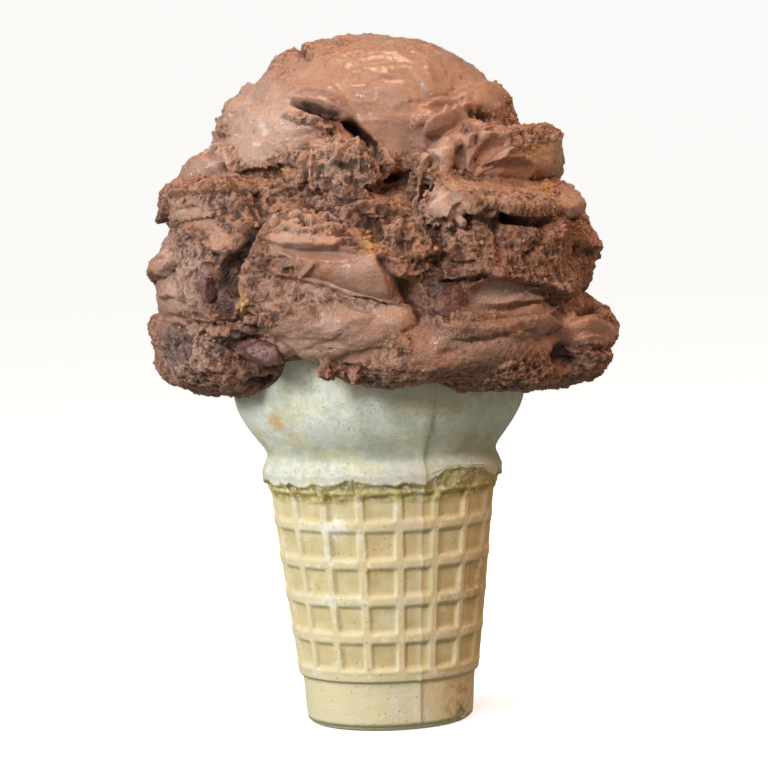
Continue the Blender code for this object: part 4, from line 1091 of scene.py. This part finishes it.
# %% Add folds round the sides and back
def side_strokes(scoop, count):
    """Ledges and cracks for the parts that the table doesn't reach, seeded to come out the same."""
    rng = random.Random(40 + len(scoop) + count)
    low, high = (76.0, 108.0) if scoop == "lower" else (110.0, 130.0)
    made = []
    for k in range(count):
        around = 78.0 + 204.0 * (k + 0.5) / count
        z = low + (high - low) * ((k * 0.618) % 1.0)
        x = rng.uniform(-8, 8)
        half = rng.uniform(5, 13)
        slope = rng.uniform(-6, 6)
        bow = rng.uniform(-2.5, 2.5)
        points = [(x - half, z - slope), (x - half / 3, z + bow)]
        points += [(x + half / 2, z + bow / 2), (x + half, z + slope)]
        if rng.random() < 0.45:
            points.reverse()
        kind = rng.choice(["ledge", "ledge", "ledge", "crack"])
        sizes = (rng.uniform(2.0, 3.8), rng.uniform(1.2, 2.2))
        if kind == "ledge":
            sizes = tuple(rng.uniform(*ends) for ends in ((0.8, 1.8), (2.4, 5.5), (1.2, 2.8), (1.6, 3.4)))
        made.append((scoop, f"side_{k}", kind, points, sizes, around))
    return made


STROKES += side_strokes("lower", 44) + side_strokes("upper", 22)
print(len(STROKES), "folds in all")

# %% Work out how far each point moves
def stroke_push(kind, sizes, side, share):
    """How far a stroke moves the points at this distance from its line, in mm."""
    apart = np.abs(side)
    ends = fade(0.0, 0.15, share) * fade(0.0, 0.15, 1.0 - share)
    if kind == "ledge":
        rise, up, cut, down = sizes
        above = rise * np.exp(-np.maximum(side, 0) / up)
        below = -cut * np.exp(-np.maximum(-side, 0) / down)
        step = fade(-0.35, 0.35, side)
        far = 3.0 * max(up, down)
        return ends * (above * step + below * (1 - step)) * fade(far, 0.6 * far, apart)
    if kind == "crack":
        return -ends * sizes[0] * np.exp(-((apart / (0.75 * sizes[1])) ** 2))
    if kind == "ridge":
        return ends * sizes[0] * np.exp(-apart / (0.8 * sizes[1]))
    return -sizes[0] * np.exp(-((apart / sizes[1]) ** 2))


def seen_from_front(P, N):
    """Where each point shows, measured on the plane through the axis, and 1 if it faces the front."""
    eye = np.array(EYE)
    sight = P - eye
    seen = eye + sight * (-EYE.y / sight[:, 1])[:, None]
    return seen, fade(-0.45, -0.05, -N[:, 1]) * fade(12.0, 0.0, P[:, 1])


def oval(seen, middle, sizes, roll):
    """Distance from an oval's middle, 1 on its rim."""
    c, s = math.cos(math.radians(roll)), math.sin(math.radians(roll))
    dx, dz = seen[:, 0] - middle[0], seen[:, 2] - middle[1]
    return np.hypot((dx * c + dz * s) / sizes[0], (dz * c - dx * s) / sizes[1])


def spoon_push(P, N, scoop):
    seen, front = seen_from_front(P, N)
    push = np.zeros(len(P))
    for which, middle, sizes, roll, depth, lean in SPOONS:
        if which == scoop:
            apart = oval(seen, middle, sizes, roll) + 0.08 * rough_noise(P, 3.0, 2, 61)
            c, s = math.cos(math.radians(roll)), math.sin(math.radians(roll))
            low = np.clip(((seen[:, 0] - middle[0]) * s - (seen[:, 2] - middle[1]) * c) / sizes[1], -1, 1)
            bowl = np.clip(1.0 - apart * apart, 0.0, 1.0) ** (0.6 - 0.3 * abs(lean))
            push -= front * depth * bowl * (1.0 + lean * low) / (1.0 + abs(lean))
            push += front * 0.3 * np.exp(-(((apart - 1.08) / 0.14) ** 2))
    return push


def marked(P, N, scoop, table, soft=0.25):
    """1 inside the ovals of a table, fading to 0 over their ragged rims."""
    seen, front = seen_from_front(P, N)
    edge = 0.34 * rough_noise(P, 2.6, 3, 29)
    mask = np.zeros(len(P))
    for which, middle, sizes, roll, *strength in table:
        if which == scoop:
            apart = oval(seen, middle, sizes, roll) + edge
            mask = np.maximum(mask, (strength[0] if strength else 1.0) * fade(1.0 + soft, 1.0 - soft, apart))
    return mask * front, front


def deep_share(P, N, scoop):
    """1 down in the deep slits, whichever way their walls face."""
    seen = seen_from_front(P, N)[0]
    mask = np.zeros(len(P))
    for which, middle, sizes, roll, strength in DEEP:
        if which == scoop:
            apart = oval(seen, middle, sizes, roll) + 0.2 * rough_noise(P, 2.0, 2, 61)
            mask = np.maximum(mask, strength * fade(1.25, 0.6, apart))
    return np.where(P[:, 1] < 0.0, mask, 0.0)


def satin_share(P, N, scoop):
    """1 where the skin is smooth and 0 where it is torn."""
    seen, front = seen_from_front(P, N)
    edge = 0.30 * rough_noise(P, 4.5, 3, 9)
    table = np.zeros(len(P))
    for which, middle, sizes, roll, smooth in SATIN:
        if which == scoop:
            apart = oval(seen, middle, sizes, roll) + edge
            table = np.maximum(table, smooth * (1.0 - fade(0.72, 1.12, apart)))
    for which, middle, sizes, roll, *_ in SPOONS:
        if which == scoop and sizes[0] > 3.0:
            table = np.maximum(table, 0.95 * fade(1.15, 0.95, oval(seen, middle, sizes, roll)))
    crown = fade(122.0, 130.0, P[:, 2]) * fade(0.45, -0.3, rough_noise(P, 15.0, 2, 55))
    elsewhere = np.maximum(fade(-0.02, 0.16, rough_noise(P, 13.0, 2, 52)), crown)
    return table * front + elsewhere * (1.0 - front)


# how many of its widths a stroke is felt to each side
REACH = {"ledge": 3, "crack": 2.2, "ridge": 3, "dent": 2}
SEAT_TOP, SEAT_RADIUS = 79.0, 31.9


def shape(scoop, name):
    """Press the folds, swell the lumps and open the pores of one scoop, and paint what was done."""
    P = places(scoop.data)
    N = outward(scoop.data)
    folds = np.zeros(len(P))
    hollow = np.zeros(len(P))
    wander = 0.5 * rough_noise(P, 3.0, 2, 5)
    for stroke in STROKES:
        which, _, kind, points, sizes = stroke[:5]
        if which != name:
            continue
        line, normals = skin.line(points, stroke[5] if len(stroke) > 5 else 0.0)
        width = max(sizes[1], sizes[-1]) if kind == "ledge" else sizes[1]
        reach = width * REACH[kind]
        near, side, share = beside(P, N, line, normals, reach)
        push = stroke_push(kind, sizes, side + wander[near], share)
        folds[near] += push
        # the floor of a crack or undercut is marked for painted shade
        hollow[near] = np.maximum(hollow[near], np.clip(-push / 3.0, 0, 1))
    folds += spoon_push(P, N, name)
    satin = satin_share(P, N, name) * (1.0 - marked(P, N, name, BROKEN, 0.2)[0])
    torn = 1.0 - satin
    lumpy, front = marked(P, N, name, LUMPY)
    lumpy += (1.0 - front) * fade(0.05, 0.3, rough_noise(P, 9.0, 2, 72))
    warp = P + 0.45 * np.stack([rough_noise(P, 1.7, 2, s) for s in (1, 2, 3)], 1)
    fine_warp = P + 0.25 * np.stack([rough_noise(P, 0.9, 2, s) for s in (4, 5, 6)], 1)
    clumps = (0.15 + 0.65 * lumpy) * rough_noise(P, 4.2, 2, 21)
    sheets = 1.9 * flakes(warp, 9.0, 4, 91)
    grain = 0.19 * shreds(fine_warp, 1.7, 31) + 0.17 * shreds(fine_warp, 0.95, 33)
    hanging = warp * np.array([1.0, 1.0, 0.62])
    crumbs = 0.36 * (curds(hanging, 2.5, 35) - 0.55) + 0.30 * shreds(hanging, 1.4, 37)
    crumbs += 0.20 * shreds(fine_warp, 0.95, 39)
    crumbs = lumpy * crumbs + (1.0 - 0.45 * lumpy) * grain
    pores = -0.36 * fade(0.34, 0.08, pore_noise(warp, 1.5, 4))
    pores -= 0.4 * lumpy * fade(0.3, 0.1, pore_noise(warp, 2.6, 8))
    swell = (0.9 - 0.5 * satin) * rough_noise(P, 11.0, 2, 33)
    # a satin skin is drawn out along the scoop's path, with a few wrinkles and burst bubbles
    drawn = P * np.array([0.7, 0.85, 1.0]) + P[:, [2]] * np.array([0.35, 0.0, 0.0])
    wrinkle = np.exp(-((soft_noise(drawn, 3.4, 13) / 0.10) ** 2)) * fade(0.0, 0.4, soft_noise(P, 9.0, 14))
    bubbles = -0.5 * fade(0.17, 0.07, pore_noise(P, 3.1, 15))
    drag = 0.24 * rough_noise(drawn, 3.6, 2, 3) + 0.14 * rough_noise(P, 1.5, 2, 16) + 0.20 * wrinkle + bubbles
    relief = torn * (clumps + crumbs + pores + sheets) + satin * (drag + 0.3 * sheets)
    # the underside stays as it is where it sits on the cup's rim
    seated = (P[:, 2] < SEAT_TOP) & (np.hypot(P[:, 0], P[:, 1]) < SEAT_RADIUS)
    P = P + N * np.where(seated, 0.0, folds + swell + relief)[:, None]
    move_to(scoop.data, P)
    paint(scoop.data, "torn", torn)
    # the relief, high on peaks and low in pores, sets the sponge's painted highlight and painted shade
    paint(scoop.data, "relief", np.clip(0.55 + torn * (0.8 * crumbs + 0.9 * pores + 0.15 * clumps), 0, 1))
    paint(scoop.data, "toffee", marked(P, N, name, TOFFEE)[0])
    paint(scoop.data, "fudge", marked(P, N, name, FUDGE, 0.15)[0])
    # how far down a crack, undercut or deep slit each point lies, for painted shade
    paint(scoop.data, "hollow", np.maximum(hollow, deep_share(P, N, name)))
    # paler tone together with painted highlight
    paint(scoop.data, "pale_and_lit", marked(P, N, name, PALE_AND_LIT, 0.4)[0])
    return round(float(folds.min()), 1), round(float(folds.max()), 1), round(float(torn.mean()), 2)


for scoop, name in ((lower, "lower"), (upper, "upper")):
    print(name, "folds from and to, share torn:", shape(scoop, name))

# %% Thin what nobody sees
def thin(scoop, most, hidden):
    """Take faces away down to most triangles, sooner where the weights in hidden are high.

    No weight is 0: the modifier never touches such a place and would flatten the others instead.
    """
    group = scoop.vertex_groups.new(name="hidden")
    for level in np.unique(hidden):
        group.add(np.where(hidden == level)[0].tolist(), float(level), "REPLACE")
    ratio = most / triangles(scoop)
    if ratio < 1.0:
        fewer = scoop.modifiers.new("fewer", "DECIMATE")
        fewer.ratio = ratio
        fewer.vertex_group = "hidden"
        # so small that a place's shape still counts for more than its weight
        fewer.vertex_group_factor = 0.00001
        bake(scoop)
    scoop.vertex_groups.clear()


MOST_TRIANGLES = 194000
NEVER_SEEN, BEHIND, IN_FRONT = 1.0, 0.6, 0.05
for scoop in (lower, upper):
    P = places(scoop.data)
    z, radius = P[:, 2], np.hypot(P[:, 0], P[:, 1])
    # what lies over the cup's mouth or between the two scoops is never seen
    unseen = (z < 80.0) & (radius < 28.0)
    unseen |= (z > 100.0) & (radius < 30.0) if scoop is lower else (z < 112.0) & (radius < 26.0)
    hidden = np.where(unseen, NEVER_SEEN, np.where(P[:, 1] > 6.0, BEHIND, IN_FRONT))
    before = triangles(scoop)
    thin(scoop, MOST_TRIANGLES, hidden)
    print(scoop.name, before, "->", triangles(scoop), "triangles")

# %% [markdown]
# ## The filling of the cup
# The lower scoop is pressed down into the cup and fills it. The filling is a plain spun plug that
# follows the inside of the wafer a hair away from it, and is joined to the heap by a Boolean
# union, so heap and filling are one closed skin. The plug is added after the thinning, which
# would otherwise drag its points out through the wafer.

# %% Press the lower scoop into the cup
plug = [(2.9, 0.0), (2.9, 14.8)] + [(z + 0.3, r - 0.45) for z, r in INSIDE[1:]] + [(85.0, 26.0), (85.0, 0.0)]
before = triangles(lower)
combine(lower, spun("filling", plug, 96), "UNION")
print("the filled scoop:", before, "->", triangles(lower), "triangles")

# %% [markdown]
# ## Ice cream finish
# Chocolate ice cream has two faces. Where the scoop slid over it, the skin is satin, paler and a
# little grey, with fine drag marks; where it tore, it is a dark warm brown sponge. Its peaks get a
# painted highlight and its pores painted shade, almost black, and a rusty painted glow lies on the
# peaks for light that would pass under thin edges. The masks painted with the relief choose between the two.

# %% Make the ice cream finish
def ice_cream(name, skin_colour, lit_peak_colour, shaded_pit_colour):
    made = Finish(name)
    torn = made.attribute("torn")
    relief = made.attribute("relief")
    hollow = made.attribute("hollow")
    fudge = made.attribute("fudge")
    # the skin: blotches, drag streaks, burst bubbles
    blotch = made.remap(made.noise(6.0, 4.0), 0.38, 0.64)
    satin = made.tint(skin_colour, blotch, 0.6, (160, 108, 80))
    streak = made.remap(made.noise(1.6, 4.0, where=made.stretched((0.35, 0.35, 1.5), (0, 24, 0))), 0.45, 0.7)
    satin = made.tint(satin, streak, 0.14, (196, 156, 134))
    # the sponge: painted highlight on the peaks, painted shade in the pits, rusty painted glow
    grain = made.noise(0.75, 4.0, 0.75)
    # peaks painted lighter and pits darker, from the relief and a fine grain: painted highlight and painted
    # shade
    bright = made.maths("ADD", relief, made.times(made.maths("SUBTRACT", grain, 0.5), 1.3))
    sponge = made.mix(made.remap(bright, 0.18, 0.78), shaded_pit_colour, lit_peak_colour)
    # a rusty painted glow on the peaks, in patches, for light that would shine through thin edges
    painted_peak_glow = made.times(made.remap(made.noise(2.8, 4.0), 0.48, 0.66), made.remap(relief, 0.4, 0.75))
    sponge = made.tint(sponge, painted_peak_glow, 0.35, (184, 112, 74))
    colour = made.mix(torn, satin, sponge)
    # the mix is never even: rusty where cocoa gathers, mauve where it is wettest
    cocoa = made.remap(made.noise(8.0, 4.0, 0.6), 0.50, 0.66)
    colour = made.tint(colour, cocoa, 0.42, (182, 118, 80))
    mauve = made.remap(made.noise(9.5, 4.0, 0.6), 0.54, 0.68)
    colour = made.tint(colour, mauve, 0.38, (160, 128, 116))
    # paler places, most on the peaks: partly paler ice cream and partly painted highlight
    pale_and_lit = made.times(made.attribute("pale_and_lit"), made.remap(relief, 0.2, 0.6, 0.1, 0.5))
    colour = made.mix(pale_and_lit, colour, linear(222, 184, 158))
    speck = made.remap(made.noise(0.45, 3.0, 0.7), 0.36, 0.62, 0.84, 1.10)
    colour = made.dimmed(colour, speck)
    gold = made.remap(made.noise(1.1, 3.0), 0.35, 0.65)
    toffee = made.mix(gold, linear(176, 122, 66), linear(208, 162, 106))
    toffee_share = made.times(made.attribute("toffee"), made.remap(made.noise(1.4, 3.0), 0.30, 0.52))
    colour = made.mix(made.times(toffee_share, 0.85), colour, toffee)
    dark = made.mix(made.remap(made.noise(1.8, 4.0), 0.4, 0.62), linear(74, 50, 46), linear(128, 100, 94))
    colour = made.mix(made.times(fudge, 0.85), colour, dark)
    # painted shade down in cracks, undercuts and deep slits
    colour = made.tint(colour, made.remap(hollow, 0.25, 0.95), 0.8, (50, 30, 25))
    # what is too fine for the mesh
    open_pores = made.remap(made.pores(0.7), 0.10, 0.45)
    holes = made.remap(made.noise(1.2, 3.0, 0.6), 0.36, 0.6)
    sponge_height = made.maths("ADD", made.times(open_pores, 0.45), made.times(holes, 0.6))
    sponge_height = made.maths("ADD", sponge_height, made.times(grain, 1.9))
    fine = made.noise(0.5, 5.0, 0.7)
    bubbles = made.remap(made.pores(1.9), 0.06, 0.16)
    skin_height = made.maths("ADD", made.times(fine, 0.62), made.times(streak, 0.10))
    skin_height = made.maths("ADD", skin_height, made.times(bubbles, 0.25))
    mixed = made.tree.nodes.new("ShaderNodeMix")
    made.join(torn, mixed.inputs[0])
    made.join(skin_height, mixed.inputs[2])
    made.join(sponge_height, mixed.inputs[3])
    normal = made.relief(mixed.outputs[0], 0.50)
    wet = made.remap(made.noise(5.0, 3.0), 0.42, 0.6, 0.12, 0.32)
    rough = made.maths("ADD", wet, made.times(torn, 0.28))
    rough = made.maths("SUBTRACT", rough, made.times(fudge, 0.12))
    material = made.finish(
        colour, rough, normal, Subsurface_Weight=0.12, Subsurface_Scale=0.0012, Specular_IOR_Level=0.5
    )
    made.shader.inputs["Subsurface Radius"].default_value = (1.0, 0.42, 0.25)
    # the smooth skin wears a thin film of melt
    made.join(made.remap(torn, 0.7, 0.1, 0.0, 0.32), made.shader.inputs["Coat Weight"])
    made.shader.inputs["Coat Roughness"].default_value = 0.12
    made.shader.inputs["Coat IOR"].default_value = 1.4
    print(name, "has", len(made.tree.nodes), "nodes")
    return material


lower_finish = ice_cream("lower_ice_cream", linear(170, 128, 106), linear(194, 142, 112), linear(92, 56, 40))
upper_finish = ice_cream("upper_ice_cream", linear(170, 127, 103), linear(196, 145, 116), linear(92, 56, 41))
for scoop, finish, node, slot in (
    (lower, lower_finish, "lower_scoop", "ice_cream_lower"),
    (upper, upper_finish, "upper_scoop", "ice_cream_upper"),
):
    scoop.data.materials.clear()
    scoop.data.materials.append(finish)
    scoop.data.polygons.foreach_set("use_smooth", [True] * len(scoop.data.polygons))
    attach(scoop, "root")
    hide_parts(node)
print("scoops dressed")

# %% [markdown]
# ## Fudge chunks
# Fudge is cooked sugar, cocoa and butter, broken up cold and stirred in, so each chunk is a
# block with a few flat broken faces, worn round by the stirring. A ball squared off and cut
# flat on a few sides gives the block; noise roughens the breaks.

# %% Break up the fudge
# the solid it stands for, middle, half sizes, (roll, lean, twist), facing, number of broken faces
CHUNKS = [
    ("fudge_chunk_left", (-32.3, -32.3, 93.5), (3.1, 2.8, 4.0), (8, 10, -12), -45, 11),
    ("fudge_chunk_low", (-22.7, -34.7, 79.4), (5.4, 2.7, 2.2), (14, -6, 0), -33, 7),
    ("fudge_chunk_middle", (14.2, -40.4, 88.0), (3.8, 2.8, 3.1), (-22, 6, 8), 19, 9),
]
SQUARENESS = 3.2


def chunk(name, middle, sizes, turns, facing, breaks, material):
    bm = bmesh.new()
    bmesh.ops.create_icosphere(bm, subdivisions=6, radius=1.0)
    rng = random.Random(breaks)
    cuts = []
    for _ in range(breaks):
        way = Vector([rng.gauss(0, 1) for _ in range(3)]).normalized()
        cuts.append((way, rng.uniform(0.74, 0.92)))
    turn = Matrix.Rotation(math.radians(facing), 4, "Z")
    turn = turn @ Euler([math.radians(a) for a in (turns[1], turns[0], turns[2])]).to_matrix().to_4x4()
    stand = Matrix.Translation(Vector(middle) * MM) @ turn
    for vert in bm.verts:
        c = vert.co.copy()
        c /= sum(abs(side) ** SQUARENESS for side in c) ** (1 / SQUARENESS)
        for way, far in cuts:
            over = c.dot(way) - far
            if over > 0:
                c -= way * over * 0.92
        vert.co = stand @ Vector((c.x * sizes[0] * MM, c.y * sizes[1] * MM, c.z * sizes[2] * MM))
    piece = new_piece(name, bm, material)
    P = places(piece.data)
    N = outward(piece.data)
    rough = 0.30 * rough_noise(P, 2.2, 3, 81) + 0.16 * (curds(P, 1.1, 83) - 0.5)
    rough -= 0.18 * fade(0.3, 0.1, pore_noise(P, 1.3, 84))
    move_to(piece.data, P + N * rough[:, None])
    return piece


dark_fudge = Finish("dark_fudge")
cloud = dark_fudge.remap(dark_fudge.noise(2.2, 4.0), 0.36, 0.64)
bloom = dark_fudge.mix(cloud, linear(92, 54, 42), linear(136, 94, 80))
grit = dark_fudge.remap(dark_fudge.noise(0.5, 4.0, 0.7), 0.35, 0.65, 0.72, 1.15)
bloom = dark_fudge.dimmed(bloom, grit)
sheen = dark_fudge.remap(dark_fudge.noise(1.3, 3.0), 0.4, 0.6, 0.24, 0.5)
chips = dark_fudge.relief(dark_fudge.noise(0.5, 5.0, 0.65), 0.22)
dark_fudge.finish(bloom, sheen, chips, Specular_IOR_Level=0.55)
for row in CHUNKS:
    made = chunk(*row, dark_fudge.material)
    made.name = row[0].replace("chunk", "lump")
    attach(made, "root")
    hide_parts(row[0])
    print(made.name, triangles(made), "triangles")

# %% [markdown]
# ## Toffee bits and loose crumbs
# Broken honeycomb toffee went in with the fudge: yellow grains that melt at their edges and
# stain the ice cream round them. Crumbs of ice cream lie where the scoops tore. Each grain is
# one small ball pressed out of round; they are gathered into one piece per kind.

# %% Scatter toffee bits and crumbs
GRAIN_FACES = bmesh.new()
bmesh.ops.create_icosphere(GRAIN_FACES, subdivisions=2, radius=1.0)
GRAIN_POINTS = np.array([vert.co[:] for vert in GRAIN_FACES.verts])
GRAIN_LOOPS = [[vert.index for vert in face.verts] for face in GRAIN_FACES.faces]
GRAIN_FACES.free()


def read_paint(mesh, name):
    values = np.empty(len(mesh.vertices), np.float32)
    mesh.attributes[name].data.foreach_get("value", values)
    return values


def grains(name, spots, small, large, squash, sunk, seed, material):
    """One mesh of many small lumps that sit in the skin at the given (place, outward) pairs."""
    rng = np.random.default_rng(seed)
    points = []
    faces = []
    for middle, way in spots:
        size = small + (large - small) * rng.random() ** 2.2
        spin = np.linalg.qr(rng.normal(size=(3, 3)))[0]
        if np.linalg.det(spin) < 0:
            spin[:, 0] *= -1
        lump = GRAIN_POINTS * (1.0 + 0.22 * rng.normal(size=(len(GRAIN_POINTS), 1)))
        lump = lump * np.array([1.0, rng.uniform(squash, 1.0), rng.uniform(squash, 1.0)]) * size
        start = len(points) * len(GRAIN_POINTS)
        points.append(lump @ spin.T + middle + way * size * (0.5 - sunk))
        faces += [[start + k for k in loop] for loop in GRAIN_LOOPS]
    mesh = bpy.data.meshes.new(name)
    mesh.from_pydata((np.vstack(points) * MM).tolist(), [], faces)
    piece = placed(name, mesh, material)
    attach(piece, "root")
    print(name, len(points), "grains,", len(faces), "faces")


def pick(P, N, chance, count, seed):
    """Random places out of P, likelier where chance is high, each with its way outward."""
    rng = np.random.default_rng(seed)
    chosen = rng.choice(len(P), size=count, replace=False, p=chance / chance.sum())
    return [(P[k], N[k]) for k in chosen]


golden = Finish("toffee_gold")
burnt = golden.remap(golden.noise(0.9, 3.0), 0.36, 0.64)
amber = golden.mix(burnt, linear(170, 116, 66), linear(200, 152, 98))
glint = golden.relief(golden.noise(0.35, 4.0, 0.65), 0.12)
golden.finish(amber, 0.36, glint, Subsurface_Weight=0.2, Subsurface_Scale=0.001)
crumbly = Finish("crumb_brown")
patchy = crumbly.remap(crumbly.noise(1.9, 3.0), 0.38, 0.62)
tint = crumbly.mix(patchy, linear(150, 98, 70), linear(188, 138, 110))
shade = crumbly.remap(crumbly.noise(0.4, 4.0, 0.7), 0.35, 0.65, 0.7, 1.15)
tint = crumbly.dimmed(tint, shade)
rub = crumbly.relief(crumbly.noise(0.4, 5.0, 0.7), 0.16)
crumbly.finish(tint, 0.55, rub, Subsurface_Weight=0.12, Subsurface_Scale=0.001)

toffee_spots = []
crumb_spots = []
for scoop, few, many in ((lower, 26, 420), (upper, 12, 240)):
    toffee = read_paint(scoop.data, "toffee")
    torn = read_paint(scoop.data, "torn")
    P = places(scoop.data)
    N = outward(scoop.data)
    # toffee lies in its stains, and crumbs on torn ledges that face up
    toffee_spots += pick(P, N, np.where(toffee > 0.6, toffee, 0.0) + 1e-12, few, 5)
    ledges = np.clip(torn - 0.5, 0, 1) * fade(0.1, 0.5, N[:, 2] + 0.25)
    ledges = ledges * fade(14.0, 20.0, np.hypot(P[:, 0], P[:, 1])) + 1e-9
    crumb_spots += pick(P, N, ledges, many, 6)
grains("toffee_bits", toffee_spots, 0.35, 1.0, 0.55, 0.75, 41, golden.material)
grains("loose_crumbs", crumb_spots, 0.20, 0.75, 0.6, 0.30, 42, crumbly.material)

# %% Measure how far the dressing reaches past the solids
visual_box = [list(corner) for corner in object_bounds()]
for k, axis in enumerate("xyz"):
    side = cad_box[1][k] - cad_box[0][k]
    past = (cad_box[0][k] - visual_box[0][k], visual_box[1][k] - cad_box[1][k])
    print(axis, "grows by", [round(100 * p / side, 2) for p in past], "%")
